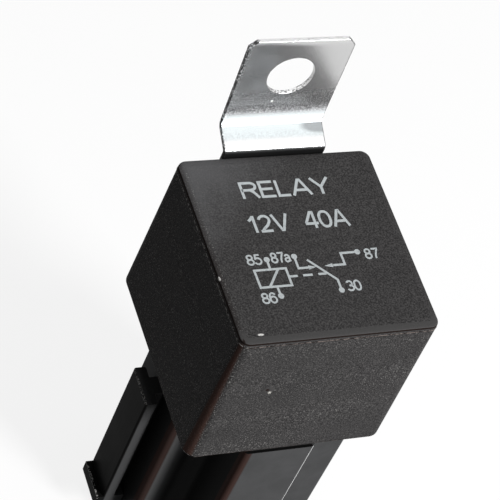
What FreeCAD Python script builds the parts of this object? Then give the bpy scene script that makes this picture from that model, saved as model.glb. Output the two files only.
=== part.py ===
"""A plug-in automotive relay with a steel bracket, seated in its five-way socket.

Millimetres, +Z up. The origin lies on the relay's own axis, in the plane of the socket's foot. The cover's
printed face looks up, and the bracket stands behind the rear wall, on the +Y side.
"""

import FreeCAD, Part
import Sketcher
import math
import os
from collections import namedtuple

Vector = FreeCAD.Vector

# Driving dimensions: name, millimetres (or degrees), meaning
SIZES = [
    ("rim_z", 34.0, "height of the cover's open rim above the socket's foot"),
    ("cover_width", 27.2, "cover across X at its top"),
    ("cover_depth", 28.4, "cover across Y at its top"),
    ("cover_rise", 24.65, "cover from rim to top"),
    ("cover_flare", 0.55, "how much wider each side is at the rim"),
    ("cover_wall", 1.2, "thickness of the cover's walls"),
    ("cover_roof", 1.35, "thickness of the cover's top"),
    ("top_corner", 1.3, "upright corner radius at the top"),
    ("inner_corner", 0.5, "upright corner radius inside, at the roof"),
    ("top_round", 1.0, "rounding of the top's edge"),
    ("base_recess", 0.9, "from the rim up to the base plate"),
    ("base_thick", 2.6, "thickness of the base plate"),
    ("base_clear", 0.1, "gap between the base plate and the cover"),
    ("compound_recess", 0.2, "from the rim up to the sealing compound"),
    ("foot_x", 9.7, "stand-off feet from the axis along X"),
    ("foot_y", 5.0, "stand-off feet from the axis along Y"),
    ("foot_radius", 0.8, "radius of a stand-off foot"),
    ("blade_width", 6.3, "width of a blade"),
    ("blade_thick", 0.8, "thickness of a blade"),
    ("blade_reach", 11.5, "length of a blade below the rim"),
    ("blade_tip", 1.0, "length of the taper at a blade's tip"),
    ("blade_taper", 1.3, "width lost on each side at the tip"),
    ("blade_hole", 0.8, "radius of the hole near the tip"),
    ("blade_hole_up", 3.4, "that hole from the tip"),
    ("slot_clear", 0.05, "gap round a blade in the base plate"),
    ("side_clear", 0.85, "gap between blade 30 and the cover"),
    ("tenon_start", 0.8, "tenon of blade 30 from the blade's middle"),
    ("tenon_width", 2.0, "width of the tenon of blade 30"),
    ("y_87a", 0.9, "blade 87a along Y"),
    ("contact_back", 1.5, "blade 87 behind the contacts, and the contacts behind 87a's upright"),
    ("x_coil_blade", 8.4, "blades 85 and 86 along X"),
    ("yoke_thick", 1.5, "thickness of the yoke"),
    ("yoke_half", 6.5, "half the width of the yoke and the armature"),
    ("yoke_clear", 0.9, "gap between the yoke's rivets and the cover"),
    ("yoke_toe", 3.9, "front end of the yoke's floor from the coil's axis"),
    ("yoke_bend", 1.8, "outer bend radius of the yoke"),
    ("leg_gap", 0.2, "gap between the yoke's top and the armature"),
    ("flange_half", 7.4, "half the width of a bobbin flange"),
    ("flange_thick", 1.0, "thickness of a bobbin flange"),
    ("flange_corner", 1.6, "corner radius of a bobbin flange"),
    ("barrel_radius", 3.8, "outer radius of the bobbin's barrel"),
    ("winding_radius", 6.9, "outer radius of the winding"),
    ("winding_length", 10.0, "length of the winding"),
    ("fit_gap", 0.05, "gap between pieces that slip together"),
    ("core_radius", 3.0, "radius of the core"),
    ("core_stub", 2.0, "radius of the core's riveted end"),
    ("pole_radius", 4.2, "radius of the pole head"),
    ("pole_thick", 1.1, "thickness of the pole head"),
    ("pole_gap", 0.85, "air gap between the pole and the armature"),
    ("armature_thick", 1.4, "thickness of the armature"),
    ("nose_gap", 3.8, "from the armature's front end to the contacts' axis"),
    ("heel_gap", 0.1, "gap between the armature's heel and the spring"),
    ("leaf_thick", 0.3, "thickness of the contact spring"),
    ("leaf_half", 4.5, "half the width of the contact spring"),
    ("tongue_half", 2.2, "half the width of its tongue"),
    ("tongue_root", 1.3, "where the tongue begins, behind the armature's front end"),
    ("leaf_drop", 8.4, "length of the spring's leg"),
    ("leaf_bend", 0.9, "outer bend radius of the spring"),
    ("rivet_radius", 0.85, "shank of the small rivets"),
    ("rivet_head", 1.5, "head radius of the small rivets"),
    ("rivet_head_thick", 0.4, "head thickness of the small rivets"),
    ("rivet_x", 3.0, "small rivets from the middle"),
    ("armature_rivet", 3.7, "armature rivets from the yoke's leg"),
    ("yoke_rivet_drop", 4.4, "yoke rivets below the spring's top"),
    ("contact_radius", 1.5, "radius of a contact's head"),
    ("contact_head", 0.5, "thickness of a contact's head"),
    ("contact_shank", 0.8, "radius of a contact's shank"),
    ("contact_gap", 1.4, "gap of the open contact at rest"),
    ("closed_gap", 0.03, "gap of the closed contact at rest"),
    ("arm_thick", 0.8, "thickness of the fixed contact arms"),
    ("arm_bend", 1.2, "outer bend radius of the fixed contact arms"),
    ("arm_half", 2.5, "half the width of blade 87 above the base"),
    ("arm_reach", 1.9, "fixed arms past the contact's axis"),
    ("strip_inner", 4.0, "near edge of 87a's side strip along X"),
    ("strip_width", 3.5, "width of 87a's side strip"),
    ("strip_clear", 0.4, "gap between 87a's upright and the cover"),
    ("strip_run", 4.4, "width of 87a's side strip where it leaves the blade"),
    ("upright_round", 0.6, "rounding at both ends of 87a's upright"),
    ("channel_clear", 0.1, "gap round 87a's strip in the base plate"),
    ("lead_radius", 0.25, "radius of a coil lead"),
    ("lead_up", 0.6, "coil leads above the lower flange"),
    ("post_half", 0.8, "half the width of the posts on 85 and 86"),
    ("bracket_thick", 0.6, "thickness of the bracket's steel"),
    ("bracket_half", 7.15, "half the width of the bracket's strip"),
    ("tab_half", 7.3, "half the width of the tab at its top"),
    ("bracket_foot", 4.0, "lower end of the bracket above the rim"),
    ("bracket_knee", 1.1, "first bend above the cover's top"),
    ("tab_back", 3.3, "tab behind the top's rear edge at its root"),
    ("tab_root", 2.55, "root of the tab above the cover's top"),
    ("tab_top", 17.4, "top of the tab above the cover's top"),
    ("tab_lean", 0.77, "how far the tab leans back from root to top"),
    ("tab_corner", 1.0, "cut at the tab's top corners"),
    ("foot_corner", 1.0, "cut at the strip's lower corners"),
    ("knee_round", 1.3, "radius of the first bend's outer side"),
    ("crease_round", 0.6, "radius of the second bend's inner side"),
    ("hole_radius", 3.2, "bracket hole, clearance for an M6 screw"),
    ("hole_up", 11.15, "bracket hole above the cover's top"),
    ("bracket_rivet_low", 8.0, "lower bracket rivet above the rim"),
    ("bracket_rivet_step", 6.0, "distance between the bracket rivets"),
    ("bracket_rivet_radius", 1.1, "shank radius of the bracket rivets"),
    ("bracket_rivet_head", 2.0, "head radius of the bracket rivets"),
    ("bracket_rivet_dome", 0.6, "head thickness of the bracket rivets"),
    ("seat_gap", 1.25, "from the socket's top to the cover's rim"),
    ("arm_wall", 1.46, "socket's wall beside a cavity in its long arms"),
    ("flank_wall", 2.6, "socket's wall beside a cavity in its side arms"),
    ("front_wall", 1.7, "socket's wall in front of cavity 30"),
    ("entry_wall", 0.7, "socket's wall along a wire entry"),
    ("socket_corner", 0.7, "radius of the socket's outer corners"),
    ("socket_hollow", 2.3, "radius of the socket's inner corners"),
    ("socket_roof", 1.5, "socket's roof over the terminals"),
    ("rail_gap", 1.45, "from the socket's side to the T rail's bar"),
    ("rail_bar", 1.75, "thickness of the T rail's bar"),
    ("rail_half", 3.0, "half the width of the T rail's bar"),
    ("rail_neck", 1.3, "half the width of the T rail's neck"),
    ("rail_low", 5.2, "lower end of the T rail"),
    ("rail_high", 28.6, "upper end of the T rail"),
    ("rail_stop", 0.9, "stop ledge past the rail's face"),
    ("stop_thick", 2.0, "thickness of the stop ledge"),
    ("pitch", 29.0, "distance between two joined sockets"),
    ("rail_clear", 0.15, "gap between a rail and its slot"),
    ("slot_mouth", 2.35, "half the width of the slot's mouth"),
    ("lip_thick", 1.95, "thickness of the slot's lips"),
    ("cheek_half", 5.3, "half the width of the slotted block"),
    ("cavity_clear", 0.1, "gap beside a receptacle in its cavity"),
    ("entry_half", 2.2, "half the thickness of a wire entry"),
    ("chamber_half", 1.6, "half the thickness of a terminal chamber"),
    ("entry_rise", 12.0, "height of a wire entry"),
    ("mouth_clear", 0.25, "gap round a blade in the socket's roof"),
    ("metal", 0.4, "sheet thickness of a receptacle"),
    ("receptacle_length", 8.8, "length of a receptacle"),
    ("receptacle_drop", 0.05, "receptacle below the socket's roof"),
    ("grip_gap", 0.05, "gap between a blade and its receptacle"),
    ("curl_rise", 1.0, "height of the curled edges"),
    ("curl_half", 0.9, "half the slit between the curled edges"),
    ("neck_half", 1.4, "half the width of a terminal's neck"),
    ("neck_length", 2.6, "length of a terminal's neck"),
    ("crimp_length", 5.0, "length of the wire crimp"),
    ("crimp_rise", 1.5, "height of the crimp's wings"),
]

Circle = namedtuple("Circle", "x y radius")
PLANES = {"top": "XY_Plane", "front": "XZ_Plane", "side": "YZ_Plane"}

# Points of a sketch's edge, and the sketch's own origin
START, END, CENTRE = range(1, 4)
ORIGIN = -1

doc = FreeCAD.newDocument("relay")
sheet = doc.addObject("Spreadsheet::Sheet", "Sizes")
parts = []


class Size:
    """A length that knows its value and the spreadsheet formula it comes from."""

    def __init__(self, value, formula):
        self.value = value
        self.formula = formula

    def __add__(self, other):
        other = as_size(other)
        return Size(self.value + other.value, f"({self.formula} + {other.formula})")

    def __sub__(self, other):
        other = as_size(other)
        return Size(self.value - other.value, f"({self.formula} - {other.formula})")

    def __mul__(self, other):
        other = as_size(other)
        return Size(self.value * other.value, f"{self.formula} * {other.formula}")

    def __truediv__(self, other):
        other = as_size(other)
        return Size(self.value / other.value, f"{self.formula} / {other.formula}")

    def __neg__(self):
        return as_size(0) - self

    def __radd__(self, other):
        return as_size(other) + self

    def __rsub__(self, other):
        return as_size(other) - self

    def __rmul__(self, other):
        return as_size(other) * self


def square_root(size):
    """The root of a Size that is a plain ratio."""
    return Size(math.sqrt(size.value), f"sqrt({size.formula})")


def as_size(thing):
    """The thing itself if it is a Size, or a plain number as one."""
    return thing if isinstance(thing, Size) else Size(float(thing), str(float(thing)))


def fill_sheet():
    """Write the driving dimensions into the spreadsheet, and return them by name."""
    found = {}
    for row, (name, value, meaning) in enumerate(SIZES, start=2):
        sheet.set(f"A{row}", name)
        sheet.set(f"B{row}", str(value))
        sheet.set(f"C{row}", meaning)
        sheet.setAlias(f"B{row}", name)
        found[name] = Size(value, f"Sizes.{name}")
    doc.recompute()
    return found


class Named:
    """The driving dimensions as attributes."""

    def __init__(self, table):
        self.__dict__.update(table)


d = Named(fill_sheet())

# Levels and faces that several pieces share
top_z = d.rim_z + d.cover_rise
base_low = d.rim_z + d.base_recess
base_high = base_low + d.base_thick
yoke_floor = base_high + d.yoke_thick
winding_low = yoke_floor + d.flange_thick
winding_high = winding_low + d.winding_length
pole_low = winding_high + d.flange_thick
pole_high = pole_low + d.pole_thick
armature_low = pole_high + d.pole_gap
armature_high = armature_low + d.armature_thick
leaf_high = armature_high + d.leaf_thick
yoke_high = armature_low - d.leg_gap
room_y = d.cover_depth / 2 - d.cover_wall
strip_y = room_y - d.strip_clear - d.blade_thick
contact_y = strip_y - d.contact_back
y_87 = contact_y - d.contact_back
y_30 = d.blade_width / 2 + d.side_clear - room_y
leaf_back_y = d.yoke_clear + d.rivet_head_thick - room_y
yoke_outer_y = leaf_back_y + d.leaf_thick
yoke_leg_y = yoke_outer_y + d.yoke_thick
coil_y = (yoke_leg_y + y_87 - d.blade_thick / 2) / 2
nose_y = contact_y - d.nose_gap
tongue_y = nose_y - d.tongue_root
armature_rivet_y = yoke_leg_y + d.armature_rivet
moving_low = armature_high - d.contact_head
moving_high = leaf_high + d.contact_head
open_high = moving_low - d.contact_gap
open_low = open_high - d.contact_head
closed_low = moving_high + d.closed_gap
closed_high = closed_low + d.contact_head
strip_low = base_high - d.blade_thick - d.channel_clear
strip_high = base_high - d.channel_clear
strip_outer = d.strip_inner + d.strip_width
arm_end_y = contact_y + d.arm_reach
blade_low = d.rim_z - d.blade_reach
lead_z = winding_low + d.lead_up
socket_high = d.rim_z - d.seat_gap
chamber_high = socket_high - d.socket_roof
receptacle_half = d.blade_width / 2 + d.grip_gap + d.metal
cavity_half = receptacle_half + d.cavity_clear
socket_side = d.x_coil_blade + d.entry_half + d.entry_wall
rail_face = socket_side + d.rail_gap + d.rail_bar
wall_slope = d.cover_flare / d.cover_rise
inner_top = top_z - d.cover_roof
WALL_LEAN = f"atan({wall_slope.formula})"

# How far a cut runs past the faces that it opens, in millimetres
PAST = 1
# The least change of volume that a feature may make, and how close two places count as one
LEAST = 1e-6
CLOSE = 0.01
zero = as_size(0)


def bind(thing, prop, size):
    """Tie one property to the spreadsheet."""
    thing.setExpression(prop, as_size(size).formula)


def half_cover(width, z):
    """Half the cover's outer width at height z."""
    return width / 2 + (top_z - z) * wall_slope


def new_body(label):
    """An empty body, whose label is the sub-part's name."""
    made = doc.addObject("PartDesign::Body", "Body_" + label)
    made.Label = label
    doc.recompute()
    return made


def keep(thing):
    """Count an object as a finished sub-part."""
    parts.append(thing)


def place(thing, x=0, y=0, z=0, turn=0):
    """Set a sub-part's own place, and its turn about Z in degrees."""
    thing.Placement = FreeCAD.Placement(Vector(0, 0, 0), FreeCAD.Rotation(Vector(0, 0, 1), turn))
    for axis, size in zip("xyz", (x, y, z)):
        bind(thing, f"Placement.Base.{axis}", size)


def new_sketch(body, plane, offset):
    """A sketch on one of the body's own planes, moved to offset along X, Y or Z."""
    drawing = body.newObject("Sketcher::SketchObject", body.Name + "_sketch")
    flat = next(f for f in body.Origin.OriginFeatures if f.Role == PLANES[plane])
    drawing.AttachmentSupport = [(flat, "")]
    drawing.MapMode = "FlatFace"
    along = -as_size(offset) if plane == "front" else as_size(offset)
    bind(drawing, "AttachmentOffset.Base.z", along)
    return drawing


def fix_point(drawing, edge, point, x, y):
    """Hold a point of a sketch at x and y from the sketch's origin."""
    for kind, size in (("DistanceX", x), ("DistanceY", y)):
        size = as_size(size)
        index = drawing.addConstraint(Sketcher.Constraint(kind, ORIGIN, START, edge, point, size.value))
        drawing.setExpression(f"Constraints[{index}]", size.formula)


def draw_circle(drawing, circle):
    """A circle whose centre and radius follow the spreadsheet."""
    radius = as_size(circle.radius)
    centre = Vector(as_size(circle.x).value, as_size(circle.y).value, 0)
    edge = drawing.addGeometry(Part.Circle(centre, Vector(0, 0, 1), radius.value))
    index = drawing.addConstraint(Sketcher.Constraint("Radius", edge, radius.value))
    drawing.setExpression(f"Constraints[{index}]", radius.formula)
    fix_point(drawing, edge, CENTRE, circle.x, circle.y)


def draw_outline(drawing, corners):
    """A closed outline of straight runs. A corner is (x, y), or (x, y, radius) between square runs."""
    spots = [Vector(as_size(x).value, as_size(y).value, 0) for x, y, *_ in corners]
    count = len(corners)
    starts, ends, arcs = list(spots), list(spots), {}
    for i, (x, y, *rounding) in enumerate(corners):
        if not rounding:
            continue
        radius = as_size(rounding[0])
        back = (spots[i - 1] - spots[i]).normalize()
        ahead = (spots[(i + 1) % count] - spots[i]).normalize()
        turn_x, turn_y = round(back.x + ahead.x), round(back.y + ahead.y)
        ends[i] = spots[i] + back * radius.value
        starts[i] = spots[i] + ahead * radius.value
        centre = spots[i] + Vector(turn_x, turn_y, 0) * radius.value
        halfway = centre + (spots[i] - centre).normalize() * radius.value
        edge = drawing.addGeometry(Part.Arc(ends[i], halfway, starts[i]))
        arcs[i] = (edge, ahead.cross(back).z > 0)
        index = drawing.addConstraint(Sketcher.Constraint("Radius", edge, radius.value))
        drawing.setExpression(f"Constraints[{index}]", radius.formula)
        fix_point(drawing, edge, CENTRE, x + radius * turn_x, y + radius * turn_y)
    lines = [
        drawing.addGeometry(Part.LineSegment(starts[i], ends[(i + 1) % count])) for i in range(count)
    ]
    for i, (x, y, *_) in enumerate(corners):
        before, after = lines[i - 1], lines[i]
        if i in arcs:
            edge, left = arcs[i]
            first, last = (START, END) if left else (END, START)
            drawing.addConstraint(Sketcher.Constraint("Tangent", before, END, edge, first))
            drawing.addConstraint(Sketcher.Constraint("Tangent", after, START, edge, last))
        else:
            drawing.addConstraint(Sketcher.Constraint("Coincident", before, END, after, START))
            fix_point(drawing, after, START, x, y)


def draw(drawing, shapes):
    """Draw each circle or outline of shapes."""
    for shape in shapes:
        if isinstance(shape, Circle):
            draw_circle(drawing, shape)
        else:
            draw_outline(drawing, shape)


def box(x0, y0, x1, y1):
    """The corners of a rectangle."""
    return [(x0, y0), (x1, y0), (x1, y1), (x0, y1)]


def round_box(half_x, half_y, radius):
    """The corners of a rounded rectangle about the origin."""
    half_x, half_y = as_size(half_x), as_size(half_y)
    spots = box(-half_x, -half_y, half_x, half_y)
    return [(x, y, radius) for x, y in spots]


def prism(body, plane, low, high, *shapes):
    """Add the shapes, swept along the plane's axis from low to high."""
    sweep(body, "PartDesign::Pad", plane, low, high, shapes)


def cut(body, plane, low, high, *shapes):
    """Take the shapes away, swept along the plane's axis from low to high."""
    before = body.Shape.Volume
    sweep(body, "PartDesign::Pocket", plane, low, high, shapes)
    check_change(body, before)


def check_change(body, before):
    """Stop if the body's last feature left its volume as it was."""
    if abs(body.Shape.Volume - before) < LEAST:
        raise ValueError(f"{body.Tip.Label} in {body.Label} changes nothing")


def sweep(body, kind, plane, low, high, shapes):
    """A pad or a pocket that runs from low to high along X, Y or Z."""
    drawing = new_sketch(body, plane, low)
    draw(drawing, shapes)
    doc.recompute()
    made = body.newObject(kind, body.Name + "_" + kind.split("::")[1])
    made.Profile = drawing
    bind(made, "Length", as_size(high) - low)
    made.Reversed = (plane == "front") == (kind == "PartDesign::Pad")
    doc.recompute()


def drafted(body, kind, high, low, corners):
    """A pad or a pocket from high down to low, that widens with the slope of the cover's walls."""
    drawing = new_sketch(body, "top", high)
    draw(drawing, [corners])
    doc.recompute()
    before = body.Shape.Volume if body.Tip else 0
    made = body.newObject(kind, body.Name + "_drafted")
    made.Profile = drawing
    bind(made, "Length", as_size(high) - low)
    made.setExpression("TaperAngle", WALL_LEAN)
    made.Reversed = kind == "PartDesign::Pad"
    doc.recompute()
    check_change(body, before)


def revolve(body, corners):
    """Turn an outline of (radius, z) corners round the body's Z axis."""
    drawing = new_sketch(body, "front", 0)
    draw(drawing, [corners])
    doc.recompute()
    made = body.newObject("PartDesign::Revolution", body.Name + "_turned")
    made.Profile = drawing
    made.ReferenceAxis = (drawing, ["V_Axis"])
    made.Angle = 360
    doc.recompute()


def round_edges(body, radius, names):
    """Round the named edges of the body's last feature."""
    base = body.Tip
    made = body.newObject("PartDesign::Fillet", body.Name + "_rounded")
    made.Base = (base, names)
    bind(made, "Radius", radius)
    doc.recompute()


def edges_where(body, test):
    """Names of the body's edges whose bounding box passes the test."""
    edges = body.Shape.Edges
    return [f"Edge{i}" for i, edge in enumerate(edges, start=1) if test(edge.BoundBox)]


def near(a, b):
    """Whether a number equals a size."""
    return abs(a - as_size(b).value) < CLOSE


def cross_edges(body, *places):
    """Names of the edges that run along X through the given (y, z) places."""

    def wanted(b):
        flat = b.YLength < CLOSE and b.ZLength < CLOSE and b.XLength > CLOSE
        return flat and any(near(b.YMin, y) and near(b.ZMin, z) for y, z in places)

    return edges_where(body, wanted)


def make_cover():
    """A drafted box open below, with soft upper edges."""
    body = new_body("cover")
    outside = round_box(d.cover_width / 2, d.cover_depth / 2, d.top_corner)
    drafted(body, "PartDesign::Pad", top_z, d.rim_z, outside)
    rim_of_top = edges_where(body, lambda b: near(b.ZMin, top_z) and near(b.ZMax, top_z))
    round_edges(body, d.top_round, rim_of_top)
    drafted(body, "PartDesign::Pocket", inner_top, d.rim_z, room_outline(inner_top, 0))
    low = d.rim_z + d.bracket_rivet_low
    drill_wall(body, [low, low + d.bracket_rivet_step])
    keep(body)


def room_outline(z, gap):
    """The outline of the space inside the cover at height z, less a gap."""
    half_x = half_cover(d.cover_width, z) - d.cover_wall - gap
    half_y = half_cover(d.cover_depth, z) - d.cover_wall - gap
    corner = d.inner_corner + (inner_top - z) * wall_slope
    return round_box(half_x, half_y, corner)


def wall_y(z):
    """The rear wall's outer face at height z."""
    return half_cover(d.cover_depth, z)


def slant(drawing, degrees):
    """Lean a sketch on the front plane back by an angle about X."""
    drawing.AttachmentOffset = FreeCAD.Placement(Vector(0, 0, 0), FreeCAD.Rotation(Vector(1, 0, 0), 1))
    drawing.setExpression("AttachmentOffset.Rotation.Angle", degrees)


def drill(body, x, y, z, radius, lean, thick):
    """A round hole through leaning sheet, centred on (x, y, z), square to the sheet."""
    drawing = new_sketch(body, "front", 0)
    slant(drawing, lean)
    for axis, size in zip("xyz", (x, z, -as_size(y))):
        bind(drawing, f"AttachmentOffset.Base.{axis}", size)
    draw_circle(drawing, Circle(0, 0, radius))
    doc.recompute()
    before = body.Shape.Volume
    made = body.newObject("PartDesign::Pocket", body.Name + "_hole")
    made.Profile = drawing
    made.SideType = "Symmetric"
    bind(made, "Length", (thick + PAST) * 2)
    doc.recompute()
    check_change(body, before)


def drill_wall(body, levels):
    """Rivet holes through the rear wall, square to its slope."""
    for z in levels:
        drill(body, 0, wall_y(z), z, d.bracket_rivet_radius, WALL_LEAN, d.cover_wall)


def make_bracket():
    """One folded strip: a flat foot on the rear wall, two bends, and a tab with its hole."""
    body = new_body("bracket")
    low, knee = d.rim_z + d.bracket_foot, top_z + d.bracket_knee
    root, high = top_z + d.tab_root, top_z + d.tab_top
    root_y = d.cover_depth / 2 + d.tab_back
    high_y = root_y + d.tab_lean
    knee_y = wall_y(knee)
    t = d.bracket_thick
    rise = (root - knee) / (root_y - knee_y)
    under = t * (square_root(1 + rise * rise) - rise)
    profile = [
        (wall_y(low), low),
        (wall_y(low) + t, low),
        (knee_y + t, knee - under),
        (root_y + t, root - under),
        (high_y + t, high),
        (high_y, high),
        (root_y, root),
        (knee_y, knee),
    ]
    half = d.tab_half
    prism(body, "side", -half, half, profile)
    round_edges(body, d.knee_round, cross_edges(body, (knee_y, knee)))
    round_edges(body, d.knee_round - t, cross_edges(body, (knee_y + t, knee - under)))
    round_edges(body, d.crease_round, cross_edges(body, (root_y, root)))
    round_edges(body, d.crease_round + t, cross_edges(body, (root_y + t, root - under)))
    trim_bracket(body, low, root, high, high_y)
    slope = d.tab_lean / (high - root)
    z = top_z + d.hole_up
    y = root_y + (z - root) * slope + t / 2
    drill(body, 0, y, z, d.hole_radius, f"-atan({slope.formula})", t)
    rivet_z = d.rim_z + d.bracket_rivet_low
    drill_wall(body, [rivet_z, rivet_z + d.bracket_rivet_step])
    keep(body)


def trim_bracket(body, low, root, high, high_y):
    """Narrow the strip below the tab, and cut the corners."""
    near_y, far_y = wall_y(top_z) - PAST, high_y + d.bracket_thick + PAST
    c, f = d.tab_corner, d.foot_corner
    for side in (1, -1):
        edge = d.bracket_half * side
        out = (d.tab_half + PAST) * side
        tip = d.tab_half * side
        waste = [
            (edge - f * side, low - PAST),
            (edge - f * side, low),
            (edge, low + f),
            (edge, root),
            (tip, high - c),
            (tip - c * side, high),
            (tip - c * side, high + PAST),
            (out, high + PAST),
            (out, low - PAST),
        ]
        cut(body, "front", near_y, far_y, waste)


def make_bracket_rivets():
    """Two rivets through the bracket and the rear wall, with a flat head on each side."""
    pieces = []
    first = d.rim_z + d.bracket_rivet_low
    inner = -d.cover_wall - d.bracket_rivet_dome
    for level in (first, first + d.bracket_rivet_step):
        outer = d.bracket_thick
        stages = [
            (d.bracket_rivet_head, inner, d.bracket_rivet_dome),
            (d.bracket_rivet_radius, inner, d.cover_wall + d.bracket_rivet_dome + outer),
            (d.bracket_rivet_head, outer, d.bracket_rivet_dome),
        ]
        pieces += [wall_stud(level, *stage) for stage in stages]
    fuse("bracket_rivets", pieces)


def wall_stud(level, radius, start, length):
    """A cylinder square to the rear wall, from start behind the wall's face."""
    made = doc.addObject("Part::Cylinder", "Stud")
    made.Placement = FreeCAD.Placement(Vector(0, 0, 0), FreeCAD.Rotation(Vector(-1, 0, 0), 90))
    bind(made, "Radius", radius)
    bind(made, "Height", length)
    start = as_size(start)
    y = f"{wall_y(level).formula} + {start.formula} * cos({WALL_LEAN})"
    z = f"{level.formula} + {start.formula} * sin({WALL_LEAN})"
    made.setExpression("Placement.Rotation.Angle", f"90 deg - {WALL_LEAN}")
    made.setExpression("Placement.Base.y", y)
    made.setExpression("Placement.Base.z", z)
    return made


def fuse(label, pieces):
    """One sub-part from overlapping or separate primitives."""
    made = doc.addObject("Part::MultiFuse", "Fused_" + label)
    made.Shapes = pieces
    made.Label = label
    doc.recompute()
    keep(made)


def blade_outline(centre, top, *crown):
    """The flat outline of a blade, with its tapered tip below."""
    half = d.blade_width / 2
    left, right = centre - half, centre + half
    tip = blade_low + d.blade_tip
    below = [
        (left, tip),
        (left + d.blade_taper, blade_low),
        (right - d.blade_taper, blade_low),
        (right, tip),
        (right, top),
    ]
    return below + list(crown) + [(left, top)]


def tip_hole(centre):
    """The small hole near a blade's tip."""
    return Circle(centre, blade_low + d.blade_hole_up, d.blade_hole)


def make_blade_30():
    """The common blade, with a tenon staked into the yoke's floor."""
    body = new_body("blade_30")
    half = d.blade_thick / 2
    left = y_30 + d.tenon_start
    right = left + d.tenon_width
    crown = [(right, base_high), (right, yoke_floor), (left, yoke_floor), (left, base_high)]
    outline = blade_outline(y_30, base_high, *crown)
    prism(body, "side", -half, half, outline, tip_hole(y_30))
    keep(body)


def make_coil_blade(label, side):
    """A blade that ends in a post for one end of the coil's wire."""
    body = new_body(label)
    middle = d.x_coil_blade * side
    half = d.blade_thick / 2
    post_top = lead_z + d.post_half
    left, right = coil_y - d.post_half, coil_y + d.post_half
    shoulder = base_high + d.blade_thick
    crown = [(right, shoulder), (right, post_top), (left, post_top), (left, shoulder)]
    outline = blade_outline(zero, shoulder, *crown)
    prism(body, "side", middle - half, middle + half, outline, tip_hole(zero))
    keep(body)


def make_blade_87():
    """The blade whose upper end folds into the arm of the normally open contact."""
    body = new_body("blade_87")
    near_y, far_y = y_87 - d.blade_thick / 2, y_87 + d.blade_thick / 2
    arm_low = open_low - d.arm_thick
    profile = [
        (near_y, blade_low),
        (far_y, blade_low),
        (far_y, arm_low, d.arm_bend - d.arm_thick),
        (arm_end_y, arm_low),
        (arm_end_y, open_low),
        (near_y, open_low, d.arm_bend),
    ]
    half = d.blade_width / 2
    prism(body, "side", -half, half, profile)
    trim_blade_87(body, near_y, half)
    cut(body, "front", near_y - PAST, far_y + PAST, tip_hole(zero))
    cut(body, "top", arm_low - PAST, open_low + PAST, Circle(0, contact_y, d.contact_shank))
    keep(body)


def trim_blade_87(body, near_y, half):
    """Taper the tip, and narrow the blade above the base plate."""
    tip, shoulder = blade_low + d.blade_tip, base_high + d.blade_thick
    for side in (1, -1):
        corner = [
            (half * side, tip),
            ((half - d.blade_taper) * side, blade_low),
            ((half - d.blade_taper) * side, blade_low - PAST),
            ((half + PAST) * side, blade_low - PAST),
            ((half + PAST) * side, tip),
        ]
        cut(body, "front", near_y - PAST, arm_end_y + PAST, corner)
        strip = box(d.arm_half * side, shoulder, (half + PAST) * side, open_low + PAST)
        cut(body, "front", near_y - PAST, arm_end_y + PAST, strip)


def make_blade_87a():
    """The blade that runs sideways through the base, up the rear and over the moving contact."""
    body = new_body("blade_87a")
    near_y, far_y = d.y_87a - d.blade_thick / 2, d.y_87a + d.blade_thick / 2
    half = d.blade_width / 2
    prism(body, "front", near_y, far_y, blade_outline(zero, strip_high), tip_hole(zero))
    prism(body, "top", strip_low, strip_high, side_strip(-half, near_y, strip_outer, 0))
    upright_far = strip_y + d.blade_thick
    arm_high = closed_high + d.arm_thick
    upright = box(d.strip_inner, strip_low, strip_outer, arm_high)
    prism(body, "front", strip_y, upright_far, upright)
    left = -(d.contact_radius + d.arm_thick / 2)
    arm = [
        (left, contact_y - d.arm_reach, d.arm_thick),
        (strip_outer, contact_y - d.arm_reach, d.arm_thick),
        (strip_outer, upright_far),
        (d.strip_inner, upright_far),
        (d.strip_inner, arm_end_y),
        (left, arm_end_y, d.arm_thick),
    ]
    prism(body, "top", closed_high, arm_high, arm)
    bends = [(upright_far, strip_low), (upright_far, arm_high)]
    round_edges(body, d.upright_round, cross_edges(body, *bends))
    cut(body, "top", closed_high - PAST, arm_high + PAST, Circle(0, contact_y, d.contact_shank))
    keep(body)


def side_strip(left, near_y, outer, margin):
    """The L that 87a makes in the base plate, grown by margin."""
    turn_y = d.y_87a + d.strip_run
    end_y = strip_y + d.blade_thick
    return [
        (left - margin, near_y - margin),
        (outer + margin, near_y - margin),
        (outer + margin, end_y + margin),
        (d.strip_inner - margin, end_y + margin),
        (d.strip_inner - margin, turn_y + margin),
        (left - margin, turn_y + margin),
    ]


def blade_slots(margin):
    """The five blades' sections, grown by margin."""
    return cavities(d.blade_width / 2 + margin, d.blade_thick / 2 + margin)


def feet(radius):
    """The four stand-off feet."""
    return [Circle(d.foot_x * i, d.foot_y * j, radius) for i in (-1, 1) for j in (-1, 1)]


def make_base_plate():
    """The floor of the relay, with blade slots, a channel for 87a's strip and four feet."""
    body = new_body("base_plate")
    outline = room_outline(base_high, d.base_clear)
    drafted(body, "PartDesign::Pad", base_high, base_low, outline)
    cut(body, "top", base_low - PAST, base_high + PAST, *blade_slots(d.slot_clear))
    channel = side_strip(-(d.blade_width / 2), d.y_87a - d.blade_thick / 2, strip_outer, d.channel_clear)
    cut(body, "top", strip_low - d.channel_clear, base_high + PAST, channel)
    for foot in feet(d.foot_radius):
        prism(body, "top", socket_high, base_low + d.base_thick / 2, foot)
    keep(body)


def make_sealing_compound():
    """The cast layer under the base plate, round the blades and the feet."""
    body = new_body("sealing_compound")
    low = d.rim_z + d.compound_recess
    outline = room_outline(base_low, d.fit_gap)
    drafted(body, "PartDesign::Pad", base_low, low, outline)
    cut(body, "top", low - PAST, base_low + PAST, *blade_slots(d.slot_clear))
    for foot in feet(d.foot_radius):
        cut(body, "top", low - PAST, base_low + PAST, foot)
    keep(body)


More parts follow.
